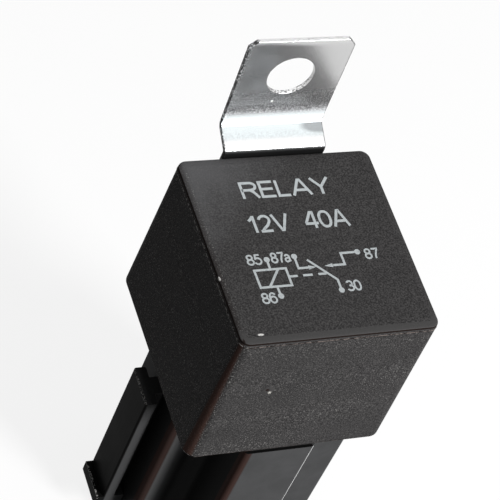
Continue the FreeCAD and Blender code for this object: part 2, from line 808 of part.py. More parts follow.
def make_yoke():
    """The L of magnet steel: a floor under the coil and a leg that the armature hinges on."""
    body = new_body("yoke")
    profile = [
        (yoke_outer_y, base_high, d.yoke_bend),
        (coil_y + d.yoke_toe, base_high),
        (coil_y + d.yoke_toe, yoke_floor),
        (yoke_leg_y, yoke_floor, d.yoke_bend - d.yoke_thick),
        (yoke_leg_y, yoke_high),
        (yoke_outer_y, yoke_high),
    ]
    prism(body, "side", -d.yoke_half, d.yoke_half, profile)
    half = d.blade_thick / 2 + d.slot_clear
    near_y = y_30 + d.tenon_start - d.slot_clear
    far_y = y_30 + d.tenon_start + d.tenon_width + d.slot_clear
    below, above = base_high - PAST, yoke_floor + PAST
    cut(body, "top", below, above, box(-half, near_y, half, far_y))
    cut(body, "top", below, above, Circle(0, coil_y, d.core_stub + d.fit_gap))
    z = leaf_high - d.yoke_rivet_drop
    holes = [Circle(d.rivet_x * side, z, d.rivet_radius + d.fit_gap) for side in (-1, 1)]
    cut(body, "front", yoke_outer_y - PAST, yoke_leg_y + PAST, *holes)
    keep(body)


def make_core():
    """The turned core, with its pole head above and a riveted stub below."""
    body = new_body("core")
    outline = [
        (zero, base_high),
        (d.core_stub, base_high),
        (d.core_stub, yoke_floor),
        (d.core_radius, yoke_floor),
        (d.core_radius, pole_low),
        (d.pole_radius, pole_low),
        (d.pole_radius, pole_high),
        (zero, pole_high),
    ]
    revolve(body, outline)
    place(body, y=coil_y)
    keep(body)


def make_bobbin():
    """Two square flanges on a hollow barrel."""
    body = new_body("bobbin")
    flange = round_box(d.flange_half, d.flange_half, d.flange_corner)
    prism(body, "top", yoke_floor, winding_low, flange)
    prism(body, "top", winding_low, winding_high, Circle(0, 0, d.barrel_radius))
    prism(body, "top", winding_high, pole_low, flange)
    hole = Circle(0, 0, d.core_radius + d.fit_gap)
    cut(body, "top", yoke_floor - PAST, pole_low + PAST, hole)
    place(body, y=coil_y)
    keep(body)


def make_coil_winding():
    """The whole winding as one ring."""
    body = new_body("coil_winding")
    inner = Circle(0, 0, d.barrel_radius + d.fit_gap)
    prism(body, "top", winding_low, winding_high, Circle(0, 0, d.winding_radius), inner)
    place(body, y=coil_y)
    keep(body)


def make_coil_leads():
    """The two ends of the wire, from the winding to the posts."""
    pieces = []
    length = d.x_coil_blade - d.blade_thick / 2 - d.winding_radius
    for side in (-1, 1):
        made = doc.addObject("Part::Cylinder", "Lead")
        made.Placement = FreeCAD.Placement(
            Vector(0, 0, 0), FreeCAD.Rotation(Vector(0, 1, 0), 90 * side)
        )
        bind(made, "Radius", d.lead_radius)
        bind(made, "Height", length)
        bind(made, "Placement.Base.x", d.winding_radius * side)
        bind(made, "Placement.Base.y", coil_y)
        bind(made, "Placement.Base.z", lead_z)
        pieces.append(made)
    fuse("coil_leads", pieces)


def make_armature():
    """The lever above the pole, cut from flat magnet steel."""
    body = new_body("armature")
    heel_y = yoke_outer_y + d.heel_gap
    outline = [
        (-d.yoke_half, heel_y),
        (d.yoke_half, heel_y),
        (d.yoke_half, nose_y, d.armature_thick),
        (-d.yoke_half, nose_y, d.armature_thick),
    ]
    radius = d.rivet_radius + d.fit_gap
    holes = [Circle(d.rivet_x * side, armature_rivet_y, radius) for side in (-1, 1)]
    prism(body, "top", armature_low, armature_high, outline, *holes)
    bend = d.leaf_bend - d.leaf_thick + d.heel_gap
    round_edges(body, bend, cross_edges(body, (heel_y, armature_high)))
    keep(body)


def make_contact_spring():
    """The leaf that hinges the armature: a leg on the yoke, a bend, a plate and a tongue."""
    body = new_body("contact_spring")
    back, front = leaf_back_y, yoke_outer_y
    low = leaf_high - d.leaf_drop
    profile = [
        (back, low),
        (front, low),
        (front, armature_high, d.leaf_bend - d.leaf_thick),
        (arm_end_y, armature_high),
        (arm_end_y, leaf_high),
        (back, leaf_high, d.leaf_bend),
    ]
    prism(body, "side", -d.leaf_half, d.leaf_half, profile)
    for side in (-1, 1):
        waste = box(d.tongue_half * side, tongue_y, (d.leaf_half + PAST) * side, arm_end_y + PAST)
        cut(body, "top", armature_high - PAST, leaf_high + PAST, waste)
    radius = d.rivet_radius + d.fit_gap
    flat_holes = [Circle(d.rivet_x * side, armature_rivet_y, radius) for side in (-1, 1)]
    flat_holes.append(Circle(0, contact_y, d.contact_shank + d.fit_gap))
    cut(body, "top", armature_high - PAST, leaf_high + PAST, *flat_holes)
    z = leaf_high - d.yoke_rivet_drop
    leg_holes = [Circle(d.rivet_x * side, z, radius) for side in (-1, 1)]
    cut(body, "front", back - PAST, front + PAST, *leg_holes)
    keep(body)


def stud(x, y, z, radius, length, turn=None):
    """A cylinder that stands on (x, y, z), along Z or turned to point along Y."""
    made = doc.addObject("Part::Cylinder", "Stud")
    if turn:
        made.Placement = FreeCAD.Placement(Vector(0, 0, 0), turn)
    bind(made, "Radius", radius)
    bind(made, "Height", length)
    for axis, size in zip("xyz", (x, y, z)):
        bind(made, f"Placement.Base.{axis}", size)
    return made


def make_armature_rivets():
    """Two rivets that hold the spring on the armature."""
    pieces = []
    for side in (-1, 1):
        x = d.rivet_x * side
        shank = leaf_high - armature_low + d.rivet_head_thick
        pieces.append(stud(x, armature_rivet_y, armature_low, d.rivet_radius, shank))
        pieces.append(stud(x, armature_rivet_y, leaf_high, d.rivet_head, d.rivet_head_thick))
    fuse("armature_rivets", pieces)


def make_yoke_rivets():
    """Two rivets that hold the spring on the yoke's leg."""
    pieces = []
    z = leaf_high - d.yoke_rivet_drop
    head_y = leaf_back_y - d.rivet_head_thick
    along_y = FreeCAD.Rotation(Vector(1, 0, 0), -90)
    for side in (-1, 1):
        x = d.rivet_x * side
        shank = yoke_leg_y - head_y
        pieces.append(stud(x, head_y, z, d.rivet_radius, shank, along_y))
        pieces.append(stud(x, head_y, z, d.rivet_head, d.rivet_head_thick, along_y))
    fuse("yoke_rivets", pieces)


def make_contact(label, *stages):
    """A turned contact rivet on the contacts' axis, from (radius, low, high) stages."""
    body = new_body(label)
    for radius, low, high in stages:
        prism(body, "top", low, high, Circle(0, 0, radius))
    place(body, y=contact_y)
    keep(body)


def make_contacts():
    """The moving contact and the two fixed ones."""
    radius, shank = d.contact_radius, d.contact_shank
    make_contact(
        "moving_contact",
        (radius, moving_low, armature_high),
        (shank, armature_high, leaf_high),
        (radius, leaf_high, moving_high),
    )
    make_contact(
        "contact_no",
        (shank, open_low - d.arm_thick, open_low),
        (radius, open_low, open_high),
    )
    make_contact(
        "contact_nc",
        (radius, closed_low, closed_high),
        (shank, closed_high, closed_high + d.arm_thick),
    )


def make_socket_housing():
    """A plus-shaped moulding: five terminal cavities, a T rail on one side, its slot on the other."""
    body = new_body("socket_housing")
    a, flank = cavity_half + d.arm_wall, cavity_half + d.flank_wall
    r, h, side = d.socket_corner, d.socket_hollow, socket_side
    front, rear = cavity_half + d.front_wall - y_30, y_87 + d.entry_half + d.entry_wall
    plus = [
        (-a, -front, r),
        (a, -front, r),
        (a, -flank, h),
        (side, -flank, r),
        (side, flank, r),
        (a, flank, h),
        (a, rear, r),
        (-a, rear, r),
        (-a, flank, h),
        (-side, flank, r),
        (-side, -flank, r),
        (-a, -flank, h),
    ]
    prism(body, "top", 0, socket_high, plus)
    add_rail(body)
    add_rail_slot(body)
    for shape in cavities(cavity_half, d.entry_half):
        cut(body, "top", 0, d.entry_rise, shape)
    for shape in cavities(cavity_half, d.chamber_half):
        cut(body, "top", d.entry_rise, chamber_high, shape)
    for shape in blade_slots(d.mouth_clear):
        cut(body, "top", chamber_high, socket_high, shape)
    keep(body)


def cavities(half, thin):
    """One rectangle for each blade, half its width and thickness given."""
    return [
        box(-thin, y_30 - half, thin, y_30 + half),
        box(-d.x_coil_blade - thin, -half, thin - d.x_coil_blade, half),
        box(d.x_coil_blade - thin, -half, d.x_coil_blade + thin, half),
        box(-half, d.y_87a - thin, half, d.y_87a + thin),
        box(-half, y_87 - thin, half, y_87 + thin),
    ]


def add_rail(body):
    """The T rail, with a stop ledge under it."""
    root = -socket_side + d.socket_corner
    neck_x, face = d.rail_bar - rail_face, -rail_face
    r = d.socket_corner / 2
    tee = [
        (root, -d.rail_neck),
        (root, d.rail_neck),
        (neck_x, d.rail_neck),
        (neck_x, d.rail_half, r),
        (face, d.rail_half, r),
        (face, -d.rail_half, r),
        (neck_x, -d.rail_half, r),
        (neck_x, -d.rail_neck),
    ]
    prism(body, "top", d.rail_low, d.rail_high, tee)
    ledge = box(face - d.rail_stop, -d.rail_half, root, d.rail_half)
    prism(body, "top", d.rail_low - d.stop_thick, d.rail_low, ledge)


def add_rail_slot(body):
    """The block on the other side, slotted for the next socket's T rail, and notched for its stop ledge."""
    root = socket_side - d.socket_corner
    floor = d.pitch - rail_face - d.rail_clear
    lip = d.pitch - rail_face + d.rail_bar + d.rail_clear
    face = lip + d.lip_thick
    mouth, room = d.slot_mouth, d.rail_half + d.rail_clear
    r = d.socket_corner
    cheek = [
        (root, -d.cheek_half),
        (face, -d.cheek_half, r),
        (face, -mouth),
        (lip, -mouth),
        (lip, -room),
        (floor, -room),
        (floor, room),
        (lip, room),
        (lip, mouth),
        (face, mouth),
        (face, d.cheek_half, r),
        (root, d.cheek_half),
    ]
    prism(body, "top", 0, d.rail_high, cheek)
    notch = box(d.pitch - rail_face - d.rail_stop - d.rail_clear, -room, face, room)
    cut(body, "top", 0, d.rail_low + d.rail_clear, notch)


def make_terminal(label, x, y, turn):
    """A stamped receptacle with curled edges, a neck and an open wire crimp."""
    body = new_body(label)
    t, half = d.metal, receptacle_half
    grip = d.blade_thick / 2 + d.grip_gap
    low = -grip
    crown = grip + d.curl_rise
    slit = d.curl_half
    curl = [
        (-half, low - t),
        (half, low - t),
        (half, crown),
        (slit, crown),
        (slit, grip),
        (slit + t, grip),
        (slit + t, crown - t),
        (half - t, crown - t),
        (half - t, low),
        (t - half, low),
        (t - half, crown - t),
        (-slit - t, crown - t),
        (-slit - t, grip),
        (-slit, grip),
        (-slit, crown),
        (-half, crown),
    ]
    high = chamber_high - d.receptacle_drop
    throat = high - d.receptacle_length
    waist = throat - d.neck_length
    prism(body, "top", throat, high, curl)
    neck = box(-d.neck_half, low - t, d.neck_half, low)
    prism(body, "top", waist, throat, neck)
    wing = [
        (-d.neck_half, low - t),
        (d.neck_half, low - t),
        (d.neck_half, low + d.crimp_rise),
        (d.neck_half - t, low + d.crimp_rise),
        (d.neck_half - t, low),
        (t - d.neck_half, low),
        (t - d.neck_half, low + d.crimp_rise),
        (-d.neck_half, low + d.crimp_rise),
    ]
    prism(body, "top", waist - d.crimp_length, waist, wing)
    place(body, x=x, y=y, turn=turn)
    keep(body)


def make_terminals():
    """The five receptacles, each turned to its blade."""
    make_terminal("socket_terminal_30", 0, y_30, 90)
    make_terminal("socket_terminal_85", -d.x_coil_blade, 0, 90)
    make_terminal("socket_terminal_86", d.x_coil_blade, 0, -90)
    make_terminal("socket_terminal_87", 0, y_87, 0)
    make_terminal("socket_terminal_87a", 0, d.y_87a, 0)


def check_all():
    """Stop if an object failed, or if a sub-part's shape is missing or not valid."""
    for thing in doc.Objects:
        if "Invalid" in thing.State or "Error" in thing.State:
            raise ValueError(f"{thing.Name} ({thing.Label}) is {thing.State}")
    for thing in parts:
        if thing.Shape.isNull() or not thing.Shape.isValid():
            raise ValueError(f"{thing.Label} has no valid shape")


def write_all():
    """One STEP file for each sub-part."""
    os.makedirs("parts", exist_ok=True)
    for thing in parts:
        thing.Shape.exportStep(f"parts/{thing.Label}.step")


make_cover()
make_bracket()
make_bracket_rivets()
make_base_plate()
make_sealing_compound()
make_blade_30()
make_coil_blade("blade_85", -1)
make_coil_blade("blade_86", 1)
make_blade_87()
make_blade_87a()
make_yoke()
make_core()
make_bobbin()
make_coil_winding()
make_coil_leads()
make_armature()
make_contact_spring()
make_armature_rivets()
make_yoke_rivets()
make_contacts()
make_socket_housing()
make_terminals()
doc.recompute()
check_all()
write_all()
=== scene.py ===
"""Looks of a plug-in automotive relay, with its steel bracket and its five-way socket.

Sizes are written in millimetres in the relay's own frame, +Z up out of the socket and +Y towards the bracket.
"""

import logging
import math
from dataclasses import dataclass
from enum import Enum
from typing import Any, Iterable, Optional, Protocol, Sequence, Union

import bmesh
import bpy
import numpy as np
from mathutils import Matrix, Vector


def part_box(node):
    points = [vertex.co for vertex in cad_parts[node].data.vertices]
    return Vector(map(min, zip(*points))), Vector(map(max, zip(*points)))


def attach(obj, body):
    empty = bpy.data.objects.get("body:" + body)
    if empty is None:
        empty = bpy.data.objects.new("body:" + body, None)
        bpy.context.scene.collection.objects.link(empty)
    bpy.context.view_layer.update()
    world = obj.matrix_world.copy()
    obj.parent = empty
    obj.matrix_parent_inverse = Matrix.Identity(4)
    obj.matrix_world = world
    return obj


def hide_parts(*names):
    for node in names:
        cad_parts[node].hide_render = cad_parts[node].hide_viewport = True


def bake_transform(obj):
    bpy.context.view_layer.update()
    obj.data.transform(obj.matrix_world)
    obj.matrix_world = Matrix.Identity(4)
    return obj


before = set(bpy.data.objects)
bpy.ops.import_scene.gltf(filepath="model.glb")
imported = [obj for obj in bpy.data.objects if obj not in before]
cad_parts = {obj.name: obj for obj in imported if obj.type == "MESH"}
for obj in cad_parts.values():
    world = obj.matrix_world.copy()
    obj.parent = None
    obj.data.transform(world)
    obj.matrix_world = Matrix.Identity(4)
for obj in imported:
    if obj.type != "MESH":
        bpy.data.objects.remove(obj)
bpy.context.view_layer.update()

MM = 0.001
COVER_TOP = 58.65
TERMINALS = ("30", "85", "86", "87", "87a")
Array = np.ndarray
Faces = list[list[int]]
Shape = tuple[Array, Faces]
Triple = tuple[float, float, float]
Rgb = Triple
Value = Union["Wire", float, Sequence[float]]
log = logging.getLogger("relay")


class Body(str, Enum):
    """The bodies that a piece can ride on."""

    SOCKET = "socket"
    RELAY = "relay"
    ARMATURE = "armature"


# Shader maths


class Wire:
    """One output of a node tree, on which arithmetic adds Math nodes."""

    def __init__(self, owner: "Tree", socket: bpy.types.NodeSocket) -> None:
        """Remember the tree and the socket."""
        self.owner = owner
        self.socket = socket

    def _math(self, operation: str, first: Value, second: Value) -> "Wire":
        """Add a Math node of two inputs."""
        return self.owner.node("ShaderNodeMath", {"operation": operation}, {0: first, 1: second})

    def __add__(self, other: Value) -> "Wire":
        """self + other."""
        return self._math("ADD", self, other)

    def __radd__(self, other: Value) -> "Wire":
        """other + self."""
        return self._math("ADD", other, self)

    def __sub__(self, other: Value) -> "Wire":
        """self - other."""
        return self._math("SUBTRACT", self, other)

    def __rsub__(self, other: Value) -> "Wire":
        """other - self."""
        return self._math("SUBTRACT", other, self)

    def __mul__(self, other: Value) -> "Wire":
        """self * other."""
        return self._math("MULTIPLY", self, other)

    def __rmul__(self, other: Value) -> "Wire":
        """other * self."""
        return self._math("MULTIPLY", other, self)

    def __abs__(self) -> "Wire":
        """self without its sign."""
        return self._math("ABSOLUTE", self, 0.0)

    def larger(self, other: Value) -> "Wire":
        """The larger of the two."""
        return self._math("MAXIMUM", self, other)

    def output(self, name: str) -> "Wire":
        """Another output of the same node."""
        return Wire(self.owner, self.socket.node.outputs[name])

    def step(self, low: float, high: float) -> "Wire":
        """A smooth step from 0 at low to 1 at high, or downwards if low is the larger."""
        limits = {"From Min": low, "From Max": high, "Value": self}
        return self.owner.node("ShaderNodeMapRange", {"interpolation_type": "SMOOTHSTEP"}, limits)

    def band(self, level: float, inner: float, outer: float) -> "Wire":
        """1 within inner of a level, and 0 past outer on both sides."""
        return self.step(level - outer, level - inner) * self.step(level + outer, level + inner)


class Tree:
    """A node tree, to which nodes are added by one method."""

    def __init__(self, tree: bpy.types.NodeTree) -> None:
        """Remember Blender's tree."""
        self.tree = tree

    def feed(self, socket: bpy.types.NodeSocket, value: Value) -> None:
        """Link a wire to a socket, or set the socket to a plain value.

        Args:
            socket: the input of a node.
            value: a wire, a number, a vector or a colour.
        """
        if isinstance(value, Wire):
            self.tree.links.new(value.socket, socket)
        elif isinstance(value, (tuple, list)) and socket.type == "RGBA" and len(value) == 3:
            socket.default_value = (*value, 1.0)
        else:
            socket.default_value = value

    def node(self, kind: str, settings: dict[str, Any], inputs: dict[Any, Value], output: Any = 0) -> Wire:
        """Add one node.

        Args:
            kind: the node's type.
            settings: its own settings, set first; "stops" holds a ramp's (place, colour) pairs.
            inputs: a value or a wire for each socket, by name or number.
            output: the socket that is returned, by name or number.

        Returns:
            The wire of that output.
        """
        made = self.tree.nodes.new(kind)
        for name, value in settings.items():
            if name == "stops":
                ramp = made.color_ramp
                while len(ramp.elements) < len(value):
                    ramp.elements.new(0.5)
                for element, (place, colour) in zip(ramp.elements, value):
                    element.position = place
                    element.color = (*colour, 1.0)
            else:
                setattr(made, name, value)
        for name, value in inputs.items():
            self.feed(made.inputs[name], value)
        return Wire(self, made.outputs[output])


class Shader(Tree):
    """A material whose tree ends in one Principled shader."""

    def __init__(self, name: str, **constants: Any) -> None:
        """Make the material and set the constants on the shader's own sockets.

        Args:
            name: the material's name.
            constants: socket names, with _ for each space, and their values.
        """
        self.material = bpy.data.materials.new(name)
        self.material.use_nodes = True
        super().__init__(self.material.node_tree)
        self.end = next(n for n in self.tree.nodes if n.type == "BSDF_PRINCIPLED")
        for key, value in constants.items():
            self.end.inputs[key.replace("_", " ")].default_value = value

    def place(self) -> Wire:
        """The Object coordinate, in millimetres."""
        at = self.node("ShaderNodeTexCoord", {}, {}, "Object")
        return self.vector("SCALE", at, scale=1.0 / MM)

    def vector(self, operation: str, first: Value, second: Value = (0.0, 0.0, 0.0), scale: float = 1.0) -> Wire:
        """Add a Vector Math node."""
        return self.node("ShaderNodeVectorMath", {"operation": operation}, {0: first, 1: second, 3: scale})

    def axes(self, vector: Wire) -> tuple[Wire, Wire, Wire]:
        """The x, y and z of a vector."""
        x = self.node("ShaderNodeSeparateXYZ", {}, {"Vector": vector})
        return x, x.output("Y"), x.output("Z")

    def noise(self, at: Wire, size: float, detail: float = 2.0, rough: float = 0.5, twist: float = 0.0) -> Wire:
        """Soft noise from 0 to 1, whose lumps are about size millimetres across."""
        values = {"Vector": at, "Scale": 1.0 / size, "Detail": detail, "Roughness": rough, "Distortion": twist}
        return self.node("ShaderNodeTexNoise", {}, values)

    def drag_lines(self, at: Wire) -> Wire:
        """Fine noise drawn out along Z, the way that a part leaves its mould."""
        return self.noise(self.vector("MULTIPLY", at, (1.0, 1.0, 0.03)), 0.22, rough=0.6)

    def rolling_lines(self, at: Wire, squeeze: Triple) -> Wire:
        """Fine noise drawn out along the axis whose squeeze is small, the way that a sheet was rolled."""
        return self.noise(self.vector("MULTIPLY", at, squeeze), 0.12, detail=3.0, rough=0.6)

    def cells(self, at: Wire, size: float) -> Wire:
        """The distance to the nearest cell point, in cells of about size millimetres."""
        return self.node("ShaderNodeTexVoronoi", {"feature": "F1"}, {"Vector": at, "Scale": 1.0 / size}, "Distance")

    def spot(self, at: Wire, centre: Triple, radii: Triple) -> Wire:
        """1 in the middle of an ellipsoid and 0 past its rim.

        Args:
            at: the place, in millimetres.
            centre: the ellipsoid's centre.
            radii: its half sizes along X, Y and Z.

        Returns:
            The mask.
        """
        away = self.vector("MULTIPLY", self.vector("SUBTRACT", at, centre), tuple(1.0 / r for r in radii))
        reach = self.node("ShaderNodeVectorMath", {"operation": "LENGTH"}, {0: away}, "Value")
        return reach.step(1.0, 0.6)

    def mix(self, share: Value, first: Value, second: Value) -> Wire:
        """A colour between the first and the second."""
        made = self.node("ShaderNodeMix", {"data_type": "RGBA"}, {0: share, 6: first, 7: second})
        return Wire(self, made.socket.node.outputs[2])

    def laid(self, base: Value, *layers: tuple[Value, Value]) -> Wire:
        """Colours laid over a first one, in order.

        Args:
            base: the colour underneath.
            layers: pairs of a share from 0 to 1 and the colour that it brings in.

        Returns:
            The colour that results.
        """
        for share, colour in layers:
            base = self.mix(share, base, colour)
        return base

    def attribute(self, name: str) -> Wire:
        """A number that the mesh carries on its points."""
        return self.node("ShaderNodeAttribute", {"attribute_name": name}, {}, "Fac")

    def bump(self, height: Value, depth: float, under: Optional[Wire] = None) -> Wire:
        """A normal from a height of 0 to 1.

        Args:
            height: the height.
            depth: how many millimetres a height of 1 is.
            under: the normal that this one is added to, if there is one.

        Returns:
            The normal.
        """
        values: dict[Any, Value] = {"Height": height, "Distance": depth * MM, "Strength": 1.0}
        if under is not None:
            values["Normal"] = under
        return self.node("ShaderNodeBump", {}, values)

    def finish(self, **wires: Value) -> bpy.types.Material:
        """Feed the shader's own sockets.

        Args:
            wires: socket names, with _ for each space, and their wires.

        Returns:
            The finished material.
        """
        for name, value in wires.items():
            self.feed(self.end.inputs[name.replace("_", " ")], value)
        return self.material


def square_off(first: Wire, second: Wire, place: tuple[float, float]) -> Wire:
    """The square of the distance from a place in the plane of two coordinates."""
    across, up = first - place[0], second - place[1]
    return across * across + up * up


# Finishes


class Finish(Protocol):
    """What every finish has: its name, and a method that makes its material."""

    name: str

    def make(self) -> bpy.types.Material:
        """Make the material."""


@dataclass(frozen=True)
class SparkPlastic:
    """Matte black plastic from a spark-eroded mould: a fine pebble that catches light in specks."""

    name: str = "cover_plastic"
    dark: Rgb = (0.024, 0.0233, 0.0235)
    pale: Rgb = (0.067, 0.0648, 0.0648)
    fleck: Rgb = (0.17, 0.165, 0.16)
    smooth: Rgb = (0.058, 0.0567, 0.0565)
    # a painted shade colour for the groove under the top and the top's left rim, also used for a dark notch
    groove: Rgb = (0.014, 0.0095, 0.0085)
    burr: Rgb = (0.21, 0.175, 0.16)
    scuff: Rgb = (0.62, 0.61, 0.59)
    # a painted warm reflection on the front-left corner's edge
    warm: Rgb = (0.068, 0.0360, 0.0285)
    # painted sheen: lightens the top towards its rear left
    sheen: Rgb = (0.105, 0.105, 0.108)
    grain: float = 0.21
    depth: float = 0.035
    roughness: float = 0.55
    top: float = COVER_TOP
    left: float = -13.0
    front: float = -13.6
    drift_slope: float = 0.763
    drift_level: float = 40.3
    notch: tuple[Triple, Triple] = ((-13.2, -13.72, 58.5), (0.17, 0.58, 0.4))
    edge_nick: tuple[Triple, Triple] = ((-13.47, -4.25, 58.55), (0.2, 0.38, 0.22))
    corner_nick: tuple[Triple, Triple] = ((-10.78, -12.92, 58.6), (0.5, 0.2, 0.3))

    def make(self) -> bpy.types.Material:
        """Pebbled bump and gloss, flecks, a painted sheen at the top's rear left, worn edges, a dark notch and two pale
        nicks.

        The mesh's edge attribute marks the burrs, the groove and the smooth band under the top. Painted shade darkens
        the groove and the top's left rim, a painted highlight lightens the smooth band along the front, and a painted
        warm reflection tints the front-left corner.

        Returns:
            The material.
        """
        s = Shader(self.name, IOR=1.46, Specular_IOR_Level=0.025)
        at = s.place()
        x, y, z = s.axes(at)
        pebble = s.noise(at, self.grain, rough=0.6)
        pits = s.cells(at, self.grain * 1.6)
        cloud = s.noise(at, 6.0, detail=3.0, rough=0.6)
        smear = s.noise(s.vector("MULTIPLY", at, (0.5, 1.0, 1.0)), 2.2, detail=3.0, rough=0.6, twist=0.5)
        speck = s.noise(at, self.grain * 0.75, detail=0.0).step(0.62, 0.78)
        edge = s.attribute("edge")
        worn = edge.step(0.86, 0.94) * s.noise(at, 0.5, detail=3.0, rough=0.7).step(0.44, 0.58)
        smooth_band = edge.step(0.25, 0.42)
        groove = edge.step(0.58, 0.70)
        upright = 1.0 - z.step(self.top - 0.4, self.top - 0.1)
        # painted sheen: the top lighter towards its rear left, broken up by the cloud noise
        rear_left_sheen = (y - x + cloud * 9.0).step(14.0, 30.0) * z.step(self.top - 0.5, self.top - 0.1)
        # painted warm reflection along the front-left corner's edge
        corner = x.step(self.left, self.left - 0.4) * y.step(self.front + 0.45, self.front + 0.05)
        left = x.step(self.left + 0.45, self.left + 0.15)
        near = y.step(self.front + 2.0, self.front + 0.7)
        # painted shade: the top's rounded left rim darker, except towards the front
        left_rim_shade = x.step(self.left + 0.3, self.left - 0.3) * (1.0 - near) * (1.0 - upright)
        across = z - x * self.drift_slope - self.drift_level
        drifted = across.step(-5.0, -1.5) * across.step(5.5, 1.5) * 0.30 - across.step(-5.0, -8.5) * 0.28
        nicks = s.spot(at, *self.edge_nick).larger(s.spot(at, *self.corner_nick))
        base = s.laid(
            s.mix(pebble.step(0.33, 0.70), self.dark, self.pale),
            (smear.step(0.35, 0.75) * 0.18 + cloud.step(0.60, 0.35) * upright * 0.22, self.dark),
            (rear_left_sheen * 0.8, self.sheen),
            (speck * (0.16 + upright * (0.42 + drifted)), self.fleck),
            (speck * left * 0.22, self.scuff),
            (corner * 0.85, self.warm),
            (left_rim_shade * 0.45, self.groove),
            # the smooth band, a little lighter all round; its much lighter part along the front is a painted highlight
            (smooth_band * (0.1 + near * 0.75), self.smooth),
            # painted shade in the groove under the top
            (groove, self.groove),
            (worn * 0.85, self.burr),
            (worn * left * 0.8, self.scuff),
            (s.spot(at, *self.notch) * 0.9, self.groove),
            (nicks * s.noise(at, 0.3, rough=0.6).step(0.22, 0.36), self.scuff),
        )
        rough = self.roughness + cloud * 0.16 - smear * 0.08 - worn * 0.08
        relief = s.bump((pebble * 0.75 + pits * 0.45) * (1.0 - smooth_band * 0.75), self.depth)
        return s.finish(Base_Color=base, Roughness=rough, Normal=relief)


@dataclass(frozen=True)
class MouldedPlastic:
    """Plain moulded plastic, with drag lines down the way it left the mould."""

    name: str
    colour: Rgb
    roughness: float
    drag: float = 0.35
    grain: float = 0.5
    shine: float = 0.3
    cloudy: float = 1.45

    def make(self) -> bpy.types.Material:
        """Fine vertical drag lines, cloudy gloss, and a slight grain.

        Returns:
            The material.
        """
        s = Shader(self.name, IOR=1.50, Specular_IOR_Level=self.shine)
        at = s.place()
        lines = s.drag_lines(at)
        cloud = s.noise(at, 4.0, detail=3.0, rough=0.6)
        grain = s.noise(at, self.grain)
        base = s.mix(cloud.step(0.3, 0.75), self.colour, tuple(c * self.cloudy for c in self.colour))
        rough = self.roughness + lines * self.drag * 0.3 + cloud * 0.12 - 0.1
        relief = s.bump(lines * self.drag + grain * 0.3, 0.012)
        return s.finish(Base_Color=base, Roughness=rough, Normal=relief)


@dataclass(frozen=True)
class PlatedSteel:
    """Steel with a thin bright plating: faint rolling lines, a spangle and small stains."""

    name: str
    colour: Rgb
    roughness: float
    stain: Rgb = (0.40, 0.41, 0.43)
    rolled: Triple = (0.08, 1.0, 1.0)
    cloudy: float = 0.88

    def make(self) -> bpy.types.Material:
        """Rolling lines, a fine grain that blurs the reflection, and scattered stains.

        Returns:
            The material.
        """
        s = Shader(self.name, Metallic=1.0)
        at = s.place()
        lines = s.rolling_lines(at, self.rolled)
        grain = s.noise(at, 0.25, detail=3.0, rough=0.65)
        cloud = s.noise(at, 3.5, detail=3.0, rough=0.55)
        stain = s.noise(at, 0.9, detail=3.0, rough=0.7).step(0.64, 0.76)
        base = s.mix(cloud.step(0.25, 0.8), self.colour, tuple(c * self.cloudy for c in self.colour))
        base = s.mix(stain * 0.35, base, self.stain)
        rough = self.roughness + grain * 0.08 + stain * 0.12 + cloud * 0.04
        relief = s.bump(lines * 0.4 + grain * 0.6, 0.004)
        return s.finish(Base_Color=base, Roughness=rough, Normal=relief)


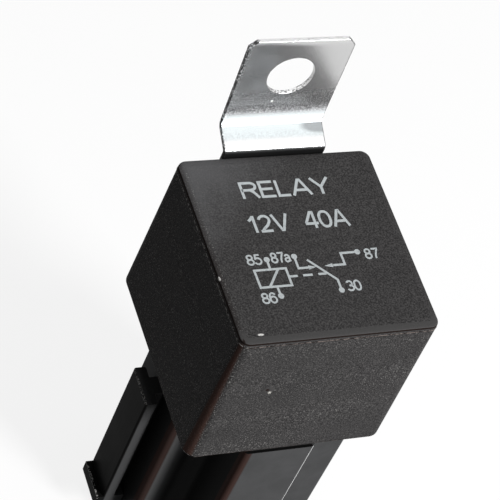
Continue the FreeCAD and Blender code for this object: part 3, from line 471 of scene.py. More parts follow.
@dataclass(frozen=True)
class ZincSheet:
    """Bright zinc on the folded strip: a fillet over its crease, a gritty band, and sheared dark edges.

    The levels and half widths are the bracket's own.
    """

    name: str = "zinc_sheet"
    colour: Rgb = (0.88, 0.89, 0.90)
    dull: Rgb = (0.66, 0.67, 0.69)
    # blue: a painted bluish reflection over the fold
    blue: Rgb = (0.84, 0.90, 0.915)
    grit: Rgb = (0.20, 0.20, 0.21)
    # near black: painted shadow where the strip meets the cover's rear edge, and dark flecks on the hole's wall
    grime_and_shadow: Rgb = (0.008, 0.008, 0.008)
    burr: Rgb = (0.045, 0.045, 0.047)
    # bright: painted reflections on the slope under the crease and the tab's upper right, also used on the tip, the
    # hole's wall and a nick
    bright: Rgb = (0.96, 0.96, 0.96)
    roughness: float = 0.15
    top: float = COVER_TOP
    crease: float = 61.2
    high: float = 76.05
    half: float = 7.15
    flare: float = 0.0101
    cut: float = 1.0
    fillet: float = 3.5
    fold_depth: float = 2.3
    face: float = 14.2
    hole_z: float = 69.8
    hole_r: float = 3.2
    dark_patch: tuple[Triple, Triple] = ((7.0, 16.9, 60.95), (3.6, 2.5, 0.55))
    nick: tuple[Triple, Triple] = ((-1.24, 17.7, 65.3), (0.24, 0.6, 0.24))

    def make(self) -> bpy.types.Material:
        """Masks by height and by the distance from the edges, over a grain and rolling lines. Some masks paint
        reflections over the fold, the slope and the tab's right, and a shadow against the cover's rear edge.

        A bump whose height runs smoothly over the crease makes the fold look rounder than the mesh is.

        Returns:
            The material.
        """
        s = Shader(self.name, Specular_IOR_Level=0.2)
        at = s.place()
        x, y, z = s.axes(at)
        crease, half, high = self.crease, self.half, self.high
        wide = abs(x) - (z - crease) * self.flare
        lines = s.rolling_lines(at, (0.08, 1.0, 1.0))
        grain = s.noise(at, 0.17, detail=3.0, rough=0.7)
        pits = s.noise(at, 0.15, detail=1.0).step(0.45, 0.55)
        cloud = s.noise(at, 3.5, detail=3.0, rough=0.55)
        flecks = s.noise(at, 0.28, detail=3.0, rough=0.7)
        band = z.step(crease + 1.2, crease + 2.6) * z.step(crease + 9.0, crease + 3.0)
        # dark flecks along the left edge only
        left_edge_flecks = wide.step(half - 0.55, half - 0.1) * x.step(0.0, -1.0) * flecks.step(0.50, 0.56)
        side = wide.step(half - 0.13, half - 0.05).larger(left_edge_flecks)
        tip = z.step(high - 0.13, high - 0.06)
        slant = half + high - self.cut
        sheared = side.larger((wide + z).step(slant - 0.12, slant - 0.03))
        stood = z.step(self.top - 0.5, self.top - 0.2)
        # painted shadow: near black on the strip just above the cover's top, against its rear wall
        foot_shadow = (z + grain * 0.3).step(self.top + 1.45, self.top + 1.15) * stood
        foot_shadow = foot_shadow * y.step(self.face + 0.56, self.face + 0.46)
        # painted reflection: a bluish near-white tint over the fold
        shade = z.step(crease - 0.95, crease - 0.65) * z.step(crease + 2.4, crease + 1.2)
        under = shade * z.step(crease - 0.3, crease - 0.6) * flecks.step(0.40, 0.60)
        # painted reflection: the slope just under the crease made bright
        lower = z.step(crease - 0.65, crease - 0.95) * (1.0 - foot_shadow) * stood
        # painted reflection: brighter towards the tab's upper right
        clear = (x + (z - self.hole_z) * 0.55).step(-3.5, 6.5) * z.step(crease + 1.5, crease + 4.5)
        # a darker patch over the crease on the right
        dark_patch = s.spot(at, *self.dark_patch) * z.step(crease + 0.1, crease - 0.1)
        rim = (self.hole_r + 0.11) ** 2
        wall = square_off(x, z, (0.0, self.hole_z)).step(rim + 0.05, rim - 0.3)
        torn = wall * flecks.step(0.50, 0.60) * z.step(self.hole_z + 0.6, self.hole_z - 0.6)
        nick = s.spot(at, *self.nick)
        base = s.laid(
            s.mix(cloud.step(0.25, 0.8), self.colour, self.dull),
            (clear.larger(lower), self.bright),
            (band * pits * 0.85, self.grit),
            (shade, self.blue),
            (under * 0.12, self.grit),
            (dark_patch * 0.6, self.grit),
            (tip.larger(wall) * 0.8, self.bright),
            (tip * (0.2 + flecks.step(0.52, 0.62) * 0.5), self.grit),
            (sheared * flecks.step(0.62, 0.52), self.burr),
            (torn, self.grime_and_shadow),
            (foot_shadow * 0.96, self.grime_and_shadow),
            (nick, self.bright),
        )
        metal = 0.93 - nick * 0.9
        rough = self.roughness + grain * 0.08 + band * 0.10 + sheared * 0.3 + foot_shadow * 0.15 + cloud * 0.04
        fold = s.bump(z.larger(crease).step(crease + self.fillet, crease - self.fillet), self.fold_depth)
        relief = s.bump(lines * 0.4 + grain * 0.6, 0.005, fold)
        return s.finish(Base_Color=base, Metallic=metal, Roughness=rough, Normal=relief)


@dataclass(frozen=True)
class SocketPlastic:
    """The socket's semi-gloss plastic: painted shade on its inner sides, painted highlights, a painted warm reflection
    on two upright edges, burrs on the rail's ends.
    """

    name: str = "socket_plastic"
    colour: Rgb = (0.053, 0.0535, 0.0545)
    # a lighter tone in the cloudy gloss, also a painted highlight on the rail's front
    pale: Rgb = (0.065, 0.0655, 0.067)
    # a painted warm reflection on two upright edges
    brown: Rgb = (0.034, 0.0158, 0.0122)
    # painted shade on the inner and left-facing faces and in the gap under the cover
    black: Rgb = (0.005, 0.005, 0.005)
    glint: Rgb = (0.105, 0.106, 0.107)
    # a painted highlight down the boss's rounded right edge
    line: Rgb = (0.50, 0.50, 0.50)
    fleck: Rgb = (0.42, 0.41, 0.40)
    roughness: float = 0.30
    web: float = -6.3
    high: float = 32.75
    front: float = -14.4
    rail_top: float = 28.6
    rail_face: float = -15.4
    step_x: float = 4.7
    shaded: tuple[float, ...] = (-5.16, -11.3)
    uprights: tuple[tuple[float, float], ...] = ((-5.16, -14.4), (-11.3, -6.3))
    burrs: tuple[tuple[float, float], ...] = ((-14.5, 28.6), (-15.4, 5.2))

    def make(self) -> bpy.types.Material:
        """Vertical drag lines and cloudy gloss, then a mask round each named edge.

        Returns:
            The material.
        """
        s = Shader(self.name, IOR=1.50, Specular_IOR_Level=0.018)
        at = s.place()
        x, y, z = s.axes(at)
        lines = s.drag_lines(at)
        cloud = s.noise(at, 4.0, detail=3.0, rough=0.6)
        grain = s.noise(at, 0.5)
        ragged = s.noise(at, 0.3, detail=3.0, rough=0.75).step(0.50, 0.62)
        rail = z.step(self.rail_top - 0.01, self.rail_top - 0.1)
        web = y.band(self.web, 0.3, 0.5) * x.step(-7.6, -10.2)
        # painted shade on the faces beside the boss
        inner = x.step(-8.8, -7.4) * x.step(-4.9, -5.05) * y.step(self.web + 0.5, self.web + 0.3)
        boss = y.step(self.front + 0.5, self.front + 0.3)
        # painted highlight down the boss's rounded right edge
        step = x.step(self.step_x, self.step_x + 0.06) * x.step(self.step_x + 0.36, self.step_x + 0.3)
        line = boss * step * z.step(self.high - 0.1, self.high - 0.2)
        # painted shade: a dark gap along the boss's top, under the cover's rim
        under = boss * z.step(self.high - 0.16, self.high - 0.08) * x.step(self.step_x + 0.02, self.step_x - 0.1)
        sides = [x.band(face, 0.1, 0.25) * y.step(2.0, 0.0) for face in self.shaded]
        # painted warm reflection on the two upright edges
        warm_edges = [square_off(x, y, place).step(1.5, 0.7) for place in self.uprights]
        burred = [square_off(x, z, place).step(0.10, 0.04) * ragged for place in self.burrs]
        base = s.laid(
            s.mix(cloud.step(0.3, 0.75), self.colour, self.pale),
            # painted highlight: the rail's front lighter
            (rail * x.step(-12.9, -13.3), self.pale),
            # painted shade: the rail's outer left face near black
            (rail * x.step(self.rail_face + 1.3, self.rail_face + 1.05), self.black),
            (web, self.glint),
            *((side * 0.85, self.black) for side in sides),
            (inner * 0.85, self.black),
            (line, self.line),
            *((mask * 0.9, self.brown) for mask in warm_edges),
            *((mask, self.fleck) for mask in burred),
            (under, self.black),
        )
        rough = self.roughness + lines * 0.10 + cloud * 0.12
        relief = s.bump(lines * 0.35 + grain * 0.3, 0.012)
        return s.finish(Base_Color=base, Roughness=rough, Normal=relief)


@dataclass(frozen=True)
class Lacquer:
    """A cast or lacquered surface: glossy, slightly uneven, with small bubbles."""

    name: str
    colour: Rgb
    roughness: float
    wave: float = 1.6
    depth: float = 0.05
    cloudy: float = 1.7

    def make(self) -> bpy.types.Material:
        """Low waves, pinholes and a cloudy colour.

        Returns:
            The material.
        """
        s = Shader(self.name, IOR=1.52, Coat_Weight=0.4, Coat_Roughness=0.15)
        at = s.place()
        wave = s.noise(at, self.wave, detail=3.0)
        bubble = s.cells(at, 0.8).step(0.14, 0.05)
        base = s.mix(wave, self.colour, tuple(c * self.cloudy for c in self.colour))
        return s.finish(
            Base_Color=base,
            Roughness=self.roughness + wave * 0.2 + bubble * 0.2,
            Normal=s.bump(wave - bubble * 0.4, self.depth),
        )


@dataclass(frozen=True)
class PrintInk:
    """Light grey ink stamped on the top: thin spots and a dry, slightly mottled surface."""

    name: str = "print_ink"
    colour: Rgb = (0.42, 0.45, 0.46)
    thin: Rgb = (0.27, 0.29, 0.30)

    def make(self) -> bpy.types.Material:
        """Mottled ink, thin in spots, with a slight relief.

        Returns:
            The material.
        """
        s = Shader(self.name, IOR=1.45, Specular_IOR_Level=0.3)
        at = s.place()
        mottle = s.noise(at, 0.35, detail=3.0, rough=0.6)
        base = s.mix(mottle.step(0.52, 0.72) * 0.8, self.colour, self.thin)
        return s.finish(Base_Color=base, Roughness=0.55 + mottle * 0.2, Normal=s.bump(mottle, 0.012))


@dataclass(frozen=True)
class TornPlastic:
    """The plastic's broken stub at the gate, white where it was stretched."""

    name: str = "gate_plastic"
    plain: Rgb = (0.046, 0.0445, 0.0445)
    pit: Rgb = (0.012, 0.0055, 0.0045)
    white: Rgb = (0.56, 0.54, 0.50)

    def make(self) -> bpy.types.Material:
        """White on the stub, brown in the pit, and a rough torn grain.

        Returns:
            The material.
        """
        s = Shader(self.name, IOR=1.46, Specular_IOR_Level=0.06)
        at = s.place()
        torn = s.noise(at, 0.14, detail=3.0, rough=0.7)
        share = s.attribute("pale") * torn.step(0.3, 0.6)
        base = s.mix(s.attribute("pit"), self.plain, self.pit)
        base = s.mix(share, base, self.white)
        return s.finish(Base_Color=base, Roughness=0.45 + torn * 0.3, Normal=s.bump(torn, 0.05))


COVER_PLASTIC = SparkPlastic()
BASE_PLASTIC = MouldedPlastic("base_plastic", (0.030, 0.030, 0.030), 0.55, 0.15, 0.35)
SOCKET_PLASTIC = SocketPlastic()
BOBBIN_PLASTIC = MouldedPlastic("bobbin_plastic", (0.62, 0.55, 0.40), 0.45, 0.2, 0.4)
COMPOUND = Lacquer("compound", (0.012, 0.012, 0.013), 0.14)
ENAMEL = Lacquer("enamelled_copper", (0.42, 0.13, 0.045), 0.18, 0.9, 0.01)
ZINC_SHEET = ZincSheet()
ZINC_STEEL = PlatedSteel("zinc_steel", (0.80, 0.815, 0.83), 0.16)
MAGNET_STEEL = PlatedSteel("magnet_steel", (0.56, 0.56, 0.57), 0.30, (0.30, 0.29, 0.28))
TINNED_BRASS = PlatedSteel("tinned_brass", (0.74, 0.72, 0.66), 0.24, (0.52, 0.44, 0.28), (1.0, 1.0, 0.1))
BRASS = PlatedSteel("brass_rivet", (0.78, 0.60, 0.30), 0.22, (0.45, 0.30, 0.14), (1.0, 1.0, 1.0))
BRONZE = PlatedSteel("spring_bronze", (0.80, 0.52, 0.32), 0.20, (0.52, 0.27, 0.15), (1.0, 0.08, 1.0))
SILVER = PlatedSteel("contact_silver", (0.90, 0.895, 0.87), 0.16, (0.50, 0.47, 0.42), (1.0, 1.0, 1.0))
INK = PrintInk()
GATE = TornPlastic()

_made: dict[str, bpy.types.Material] = {}


def material(finish: Finish) -> bpy.types.Material:
    """The finish's material, made at its first use.

    Args:
        finish: the finish.

    Returns:
        The material, the same one for every piece of that finish.
    """
    if finish.name not in _made:
        _made[finish.name] = finish.make()
    return _made[finish.name]


# Meshes


def circle(count: int) -> Array:
    """Angles of a full turn, evenly spaced."""
    return np.linspace(0.0, 2 * np.pi, count, endpoint=False)


def grid_quads(rows: int, columns: int, around: bool = False) -> Faces:
    """Corner numbers of the quads of a grid of points, written row by row.

    Args:
        rows: number of rows.
        columns: number of points in a row.
        around: whether the last column joins the first.

    Returns:
        One list of four point numbers for each quad.
    """
    r, c = np.meshgrid(np.arange(rows - 1), np.arange(columns if around else columns - 1), indexing="ij")
    ahead = (c + 1) % columns
    quads = np.stack([r * columns + c, r * columns + ahead, (r + 1) * columns + ahead, (r + 1) * columns + c], -1)
    return quads.reshape(-1, 4).tolist()


def fan(ring: Array, centre: int) -> Faces:
    """Triangles from a closed ring of point numbers to one centre point."""
    return np.stack([ring, np.roll(ring, -1), np.full(len(ring), centre)], -1).tolist()


def capped(rings: Array, low: float, high: float) -> Shape:
    """Closed rings joined each to the next, with a fan to a pole on the Z axis at both ends.

    Args:
        rings: an array of rings by points by three.
        low: height of the first ring's pole.
        high: height of the last ring's pole.

    Returns:
        The points, the two poles last, and the faces.
    """
    rows, count = rings.shape[:2]
    points = np.vstack([rings.reshape(-1, 3), [[0.0, 0.0, low], [0.0, 0.0, high]]])
    ring = np.arange(count)
    faces = grid_quads(rows, count, around=True)
    faces += fan(ring, rows * count) + fan(ring + (rows - 1) * count, rows * count + 1)
    return points, faces


def joined(shapes: Iterable[Shape]) -> Shape:
    """Several shapes as one.

    Args:
        shapes: the points and the faces of each.

    Returns:
        All the points, and all the faces with their numbers moved on.
    """
    points, faces = np.zeros((0, 3)), []
    for more, loops in shapes:
        faces += [[i + len(points) for i in loop] for loop in loops]
        points = np.vstack([points, more])
    return points, faces


def swept(x: Array, path: Array) -> Shape:
    """A sheet across a path: the point in row i and column j is (x of both, y of row i, z of row i).

    Args:
        x: places across, one row for each point of the path.
        path: rows of y and z.

    Returns:
        The points and the faces.
    """
    y, z = (np.broadcast_to(side, x.shape) for side in (path[:, :1], path[:, 1:]))
    return np.stack([x, y, z], -1).reshape(-1, 3), grid_quads(*x.shape)


def new_object(name: str, data: Any) -> bpy.types.Object:
    """An object with its data, linked to the scene.

    Args:
        name: the object's name.
        data: a mesh, a lamp or a camera.

    Returns:
        The object, at the origin.
    """
    made = bpy.data.objects.new(name, data)
    bpy.context.scene.collection.objects.link(made)
    return made


@dataclass
class Piece:
    """A mesh in millimetres that is turned into an object on one body."""

    name: str
    body: Body
    finish: Finish
    slot: str

    def build(
        self,
        points: Array,
        faces: Faces,
        numbers: Optional[dict[str, Array]] = None,
        crease: float = 35.0,
        closed: bool = True,
    ) -> bpy.types.Object:
        """Make the mesh, merge its doubles and turn its faces outwards.

        Args:
            points: one row of x, y and z for each point.
            faces: lists of point numbers.
            numbers: values for each point, by attribute name.
            crease: edges sharper than this many degrees stay sharp.
            closed: whether the faces can be turned outwards by themselves.

        Returns:
            The object, linked to the scene but not riding yet.
        """
        mesh = bpy.data.meshes.new(self.name)
        mesh.from_pydata((points * MM).tolist(), [], faces)
        for key, values in (numbers or {}).items():
            layer = mesh.attributes.new(key, "FLOAT", "POINT")
            layer.data.foreach_set("value", np.asarray(values, np.float32))
        clean_mesh(mesh, closed)
        mesh.shade_smooth()
        mesh.set_sharp_from_angle(angle=math.radians(crease))
        mesh.materials.append(material(self.finish))
        return new_object(self.name, mesh)

    def settle(self, made: bpy.types.Object, *nodes: str) -> bpy.types.Object:
        """Let the piece ride on its body, and stand for CAD nodes.

        Args:
            made: the piece's object.
            nodes: the nodes that it stands for.

        Returns:
            The same object.
        """
        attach(made, self.body.value)
        if nodes:
            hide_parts(*nodes)
        return made


def clean_mesh(mesh: bpy.types.Mesh, closed: bool = True) -> None:
    """Merge doubles, and turn the faces of a closed mesh outwards.

    Args:
        mesh: the mesh.
        closed: whether it is a closed one.
    """
    work = bmesh.new()
    work.from_mesh(mesh)
    bmesh.ops.remove_doubles(work, verts=work.verts, dist=2e-7)
    bmesh.ops.dissolve_degenerate(work, edges=work.edges, dist=1e-8)
    if closed:
        bmesh.ops.recalc_face_normals(work, faces=work.faces)
    work.to_mesh(mesh)
    work.free()


def turned(profile: Array, count: int = 48) -> Shape:
    """A surface of revolution: the point at angle a of row i is (r cos a, r sin a, h).

    Args:
        profile: rows of radius and height, from one pole to the other.
        count: points round each ring.

    Returns:
        The points and the faces, with a fan at each pole.
    """
    angle = circle(count)
    radius, height = profile[1:-1, :1], profile[1:-1, 1:]
    x, y = radius * np.cos(angle), radius * np.sin(angle)
    return capped(np.stack([x, y, np.broadcast_to(height, x.shape)], -1), profile[0, 1], profile[-1, 1])


def stood(points: Array, axis: Sequence[float], at: Sequence[float]) -> Array:
    """Points whose +Z is turned to an axis and whose origin is moved to a place."""
    turn = np.array(Vector((0, 0, 1)).rotation_difference(Vector(axis)).to_matrix())
    return points @ turn.T + np.asarray(at)


def round_path(corners: Array, radii: Sequence[float], step: float) -> Array:
    """A path of straight runs with an arc at each inner corner.

    At a corner the arc of radius r starts r tan(t / 2) before it, where t is the turn, and its points lie at
    centre + r (cos, sin) of an angle that runs evenly from one run's normal to the next.

    Args:
        corners: rows of two coordinates.
        radii: one radius for each inner corner.
        step: degrees between the points of an arc.

    Returns:
        The points.
    """
    points = [corners[0]]
    for before, here, after, radius in zip(corners, corners[1:], corners[2:], radii):
        into, out = unit(here - before), unit(after - here)
        turn = math.atan2(into[0] * out[1] - into[1] * out[0], into @ out)
        side = np.array([-into[1], into[0]]) * math.copysign(1.0, turn)
        start = here - into * radius * math.tan(abs(turn) / 2)
        centre = start + side * radius
        count = max(3, round(abs(math.degrees(turn)) / step) + 1)
        angle = np.linspace(0.0, turn, count)[:, None]
        arm = -side * radius
        across = np.array([-arm[1], arm[0]])
        points.extend(centre + arm * np.cos(angle) + across * np.sin(angle))
    points.append(corners[-1])
    return np.array(points)


def unit(vector: Array) -> Array:
    """The vector with a length of 1."""
    return vector / np.linalg.norm(vector)


def round_edges(made: bpy.types.Object, width: float, angle: float = 40.0) -> None:
    """Soften the sharp edges by a bevel.

    Args:
        made: the piece.
        width: the bevel's width.
        angle: the least turn of an edge that is softened, in degrees.
    """
    bevel = made.modifiers.new("soft_edges", "BEVEL")
    bevel.limit_method = "ANGLE"
    bevel.angle_limit = math.radians(angle)
    bevel.width = width * MM
    bevel.segments = 2
    bevel.harden_normals = False
    bevel.use_clamp_overlap = True


def thicken(made: bpy.types.Object, thick: float, offset: float, even: bool = False) -> None:
    """Give an open sheet its thickness.

    Args:
        made: the piece.
        thick: its thickness.
        offset: -1 for a wall behind the sheet, 0 for one on both sides of it.
        even: whether the wall keeps its thickness round bends.
    """
    wall = made.modifiers.new("thickness", "SOLIDIFY")
    wall.thickness = thick * MM
    wall.offset = offset
    wall.use_even_offset = even
    wall.use_quality_normals = even


def softened(node: str, finish: Finish, body: Body, slot: str, width: float = 0.08) -> str:
    """A copy of a CAD node with its triangles merged and its edges softened, which stands for the node.

    Args:
        node: the node's name.
        finish: the finish it gets.
        body: the body it rides on.
        slot: the name of the slot for that finish, which the piece keeps but nothing reads.
        width: width of the soft edges.

    Returns:
        The new piece's name.
    """
    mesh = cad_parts[node].data.copy()
    mesh.name = node + "_soft"
    mesh.materials.clear()
    work = bmesh.new()
    work.from_mesh(mesh)
    bmesh.ops.remove_doubles(work, verts=work.verts, dist=1e-6)
    bmesh.ops.dissolve_degenerate(work, edges=work.edges, dist=1e-7)
    flat = [e for e in work.edges if len(e.link_faces) == 2 and e.calc_face_angle(9.0) < math.radians(0.2)]
    bmesh.ops.dissolve_edges(work, edges=flat, use_verts=False, use_face_split=False)
    work.to_mesh(mesh)
    work.free()
    if mesh.attributes.get("custom_normal"):
        mesh.attributes.remove(mesh.attributes["custom_normal"])
    mesh.shade_smooth()
    mesh.set_sharp_from_angle(angle=math.radians(32))
    mesh.materials.append(material(finish))
    made = new_object(mesh.name, mesh)
    round_edges(made, width)
    return Piece(made.name, body, finish, slot).settle(made, node).name


def dress(finish: Finish, *nodes: str) -> list[str]:
    """Give CAD nodes a finish in their own material slots.

    Args:
        finish: the finish.
        nodes: the nodes' names.

    Returns:
        The same names.
    """
    for name in nodes:
        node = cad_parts[name]
        if not node.material_slots:
            node.data.materials.append(material(finish))
        for slot in node.material_slots:
            slot.material = material(finish)
    return list(nodes)


# The relay


@dataclass
class Cover:
    """The black moulded box: drafted walls, rounded corners, a soft upper edge and a parting line under it."""

    slope: float = 0.55 / 24.65
    wall: float = 1.2
    roof: float = 1.35
    corner: float = 1.3
    inner_corner: float = 0.5
    shoulder: float = 0.93
    drop: float = 0.72
    band: float = 0.12
    lip: float = 0.045
    deep: float = 0.09
    steepest: float = 72.0
    rim_soft: float = 0.18
    arc_steps: int = 10
    gate: tuple[float, float] = (-6.9, 14.0)

    def __post_init__(self) -> None:
        """Take the levels and the half widths from the CAD node."""
        low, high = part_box("cover")
        self.rim, self.top = low.z / MM, high.z / MM
        flare = (self.top - self.rim) * self.slope
        self.half_x, self.half_y = high.x / MM - flare, high.y / MM - flare

    def ring(self, z: Array, grow: Array, corner: Array) -> Array:
        """Rounded rectangles, one at each level.

        A corner's point is (s (h - r) + r cos a, t (k - r) + r sin a), for half sides h and k, radius r and the
        signs s and t of the corner. Between two corners the points lie on the straight side, close to both ends.

        Args:
            z: the levels.
            grow: how far each ring stands out from the top's nominal outline.
            corner: each ring's corner radius.

        Returns:
            An array of levels by points by three.
        """
        angle = np.linspace(0.0, np.pi / 2, self.arc_steps + 1)
        share = np.array([0.012, 0.05, 0.2, 0.4, 0.6, 0.8, 0.95, 0.988])
        hx, hy, r = (self.half_x + grow)[:, None], (self.half_y + grow)[:, None], corner[:, None]
        arcs = []
        for quarter, (sx, sy) in enumerate(((1, 1), (-1, 1), (-1, -1), (1, -1))):
            turn = angle + quarter * np.pi / 2
            arcs.append(np.stack([sx * (hx - r) + r * np.cos(turn), sy * (hy - r) + r * np.sin(turn)], -1))
        runs = []
        for here, after in zip(arcs, arcs[1:] + arcs[:1]):
            start, end = here[:, -1:], after[:, :1]
            runs += [here, start + (end - start) * share[None, :, None]]
        flat = np.concatenate(runs, axis=1)
        level = np.broadcast_to(z[:, None, None], (*flat.shape[:2], 1))
        return np.concatenate([flat, level], axis=2)

    def profile(self) -> Array:
        """Rows of (z, grow, corner radius, edge mark), from the roof's inside, round the rim, to the top.

        Under the top the wall ends in a burr and a groove, and an arc cut off at its steepest leads to the flat.
        The edge mark is 1 on a burr, three quarters in the groove, a half on the smooth band and 0 elsewhere.

        Returns:
            The rows.
        """
        top, rim, slope = self.top, self.rim, self.slope
        roof = top - self.roof

        def inside(z: float, inset: float = 0.0, wear: float = 0.0) -> tuple[float, float, float, float]:
            """A row on the inner wall."""
            radius = self.inner_corner + (roof - z) * slope
            return z, (top - z) * slope - self.wall - inset, max(radius - inset, 0.1), wear

        def outside(z: float, inset: float = 0.0, wear: float = 0.0) -> tuple[float, float, float, float]:
            """A row on the outer wall."""
            radius = self.corner + (top - z) * slope
            return z, (top - z) * slope - inset, max(radius - inset, 0.25), wear

        rows = [inside(roof, 9.0), inside(roof, 1.0), inside(roof, 0.35), inside(roof - 0.12, 0.1)]
        rows += [inside(z) for z in (roof - 0.35, roof - 0.6, (roof + rim) / 2, rim + 0.5, rim + 0.12)]
        rows += [inside(rim + 0.03, -0.04), inside(rim, -0.12), inside(rim, -0.35, 0.3)]
        soft = self.rim_soft
        rows += [outside(rim, soft + 0.1, 0.3), outside(rim, soft, 0.9), outside(rim + soft * 0.3, soft * 0.3, 1.0)]
        rows += [outside(rim + soft, 0, 0.95), outside(rim + soft + 0.08), outside(rim + 0.9)]
        crease, deep = top - self.drop, self.deep
        rows += [outside(z) for z in np.linspace(rim + 3.0, crease - 1.6, 7)]
        rows += [outside(crease - 0.5), outside(crease - 0.13), outside(crease - 0.09, -self.lip * 0.6, 1.0)]
        rows += [outside(crease - 0.04, -self.lip, 1.0), outside(crease + 0.01, -self.lip * 0.4, 1.0)]
        height, end = self.band, math.radians(self.steepest)
        rows += [outside(crease + 0.06), outside(crease + 0.14), outside(top - height - 0.22, 0.01, 0.75)]
        rows += [outside(top - height - 0.12, 0.03, 0.75), outside(top - height - 0.03, deep - 0.02, 0.75)]
        for a in np.linspace(0.0, end, 11):
            inset = deep + (self.shoulder - deep) * (1 - math.cos(a)) / (1 - math.cos(end))
            rows.append(outside(top - height * (1 - math.sin(a) / math.sin(end)), inset, 0.5))
        rows += [outside(top, self.shoulder + 0.03, 0.5), outside(top, self.shoulder + 0.10)]
        rows += [outside(top, self.shoulder + inset) for inset in (1.2, 4.0, 8.0)]
        return np.array(rows)

    def shell(self) -> bpy.types.Object:
        """Join the rings into one closed shell, with a pole under the roof and one on top.

        Returns:
            The shell.
        """
        rows = self.profile()
        rings = self.ring(rows[:, 0], rows[:, 1], rows[:, 2])
        points, faces = capped(rings, rows[0, 0], rows[-1, 0])
        wear = np.concatenate([np.repeat(rows[:, 3], rings.shape[1]), [0.0, 0.0]])
        piece = Piece("cover_shell", Body.RELAY, COVER_PLASTIC, "cover_plastic")
        return piece.settle(piece.build(points, faces, {"edge": wear}, crease=50.0), "cover")

    def gate_mark(self) -> bpy.types.Object:
        """The broken stub of the gate on the front wall.

        On a disc of polar points the height is a low pad, less a pit above on the left, plus a ragged stub below on
        the right. Pit and stub fall off as e to the minus a power of the distance from their own centres.

        Returns:
            The mark, on the front wall.
        """
        reach, sunk = 0.85, -0.12
        radius = np.concatenate([np.linspace(0.05, reach, 17), [0.9]])[:, None]
        angle = circle(56)
        x, y = radius * np.cos(angle), radius * np.sin(angle)
        stub = np.exp(-(((x - 0.22) / 0.28) ** 2 + ((y + 0.20) / 0.22) ** 2) ** 1.5)
        pit = np.exp(-(((x + 0.16) / 0.26) ** 2 + ((y - 0.26) / 0.26) ** 2) ** 1.4)
        ragged = 0.03 * np.sin(x * 31 + 1) * np.sin(y * 27)
        pad = 0.075 * np.clip((reach - radius) / 0.4, 0, 1)
        height = pad - 0.06 * pit + (0.19 + ragged) * stub
        height[-1] = sunk
        flat, faces = capped(np.stack([x, y, height], -1), float(height[0].mean()), sunk)
        marks = {"pale": np.clip(stub * 1.6 - 0.25, 0, 1), "pit": np.clip(pit * 1.5 - 0.3, 0, 1)}
        marks = {key: np.concatenate([mark.ravel(), [float(mark[0].mean()), 0.0]]) for key, mark in marks.items()}
        z = self.rim + self.gate[1]
        wall = -(self.half_y + (self.top - z) * self.slope)
        face = np.column_stack([flat[:, 0] + self.gate[0], wall - flat[:, 2], flat[:, 1] + z])
        piece = Piece("cover_gate_mark", Body.RELAY, GATE, "cover_plastic")
        return piece.settle(piece.build(face, faces, marks, crease=60.0))

    def build(self) -> list[str]:
        """Make the shell and the gate's mark."""
        return [self.shell().name, self.gate_mark().name]


class Mark(Enum):
    """Lettering on the top: words, then left, right, low and high on the cover's top, and the stroke's width."""

    NAME = ("RELAY", -6.45, 6.2, 7.45, 10.15, 0.38)
    VOLTS = ("12V", -7.1, -1.45, 2.1, 4.82, 0.37)
    AMPS = ("40A", 0.62, 6.85, 2.15, 4.88, 0.37)
    LEFT_COIL = ("85", -9.15, -7.05, -2.75, -1.1, 0.245)
    REST = ("87a", -5.85, -3.1, -2.70, -1.05, 0.245)
    LOW_COIL = ("86", -9.0, -6.9, -8.6, -6.95, 0.245)
    WORK = ("87", 7.05, 9.1, -3.2, -1.55, 0.245)
    COMMON = ("30", 2.9, 4.95, -7.8, -6.15, 0.245)


Path = list[tuple[float, float]]


def arc(x: float, y: float, across: float, up: float, start: float, end: float) -> Path:
    """Points of an ellipse: (x + across cos a, y + up sin a), for a from start to end.

    Args:
        x: the middle, across.
        y: the middle, upwards.
        across: half the width.
        up: half the height.
        start: the first angle, in degrees.
        end: the last angle.

    Returns:
        The points.
    """
    count = max(6, round(abs(end - start) / 9))
    angle = np.radians(np.linspace(start, end, count))
    return list(zip((x + across * np.cos(angle)).tolist(), (y + up * np.sin(angle)).tolist()))


def oval(x: float, y: float, across: float, up: float, fullness: float = 0.88) -> Path:
    """A closed oval: (x + across cos a, y + up sin a), where cos a and sin a keep their sign and get a power.

    Args:
        x: the middle, across.
        y: the middle, upwards.
        across: half the width.
        up: half the height.
        fullness: the power; below 1 it makes the sides fuller.

    Returns:
        The points.
    """
    c, s = np.cos(circle(40)), np.sin(circle(40))
    wide = x + across * np.sign(c) * np.abs(c) ** fullness
    tall = y + up * np.sign(s) * np.abs(s) ** fullness
    return list(zip(wide.tolist(), tall.tolist()))


@dataclass(frozen=True)
class Glyph:
    """A letter as the middle lines of its strokes, in a box one wide and one high."""

    width: float
    lines: tuple[Path, ...]
    rings: tuple[Path, ...] = ()


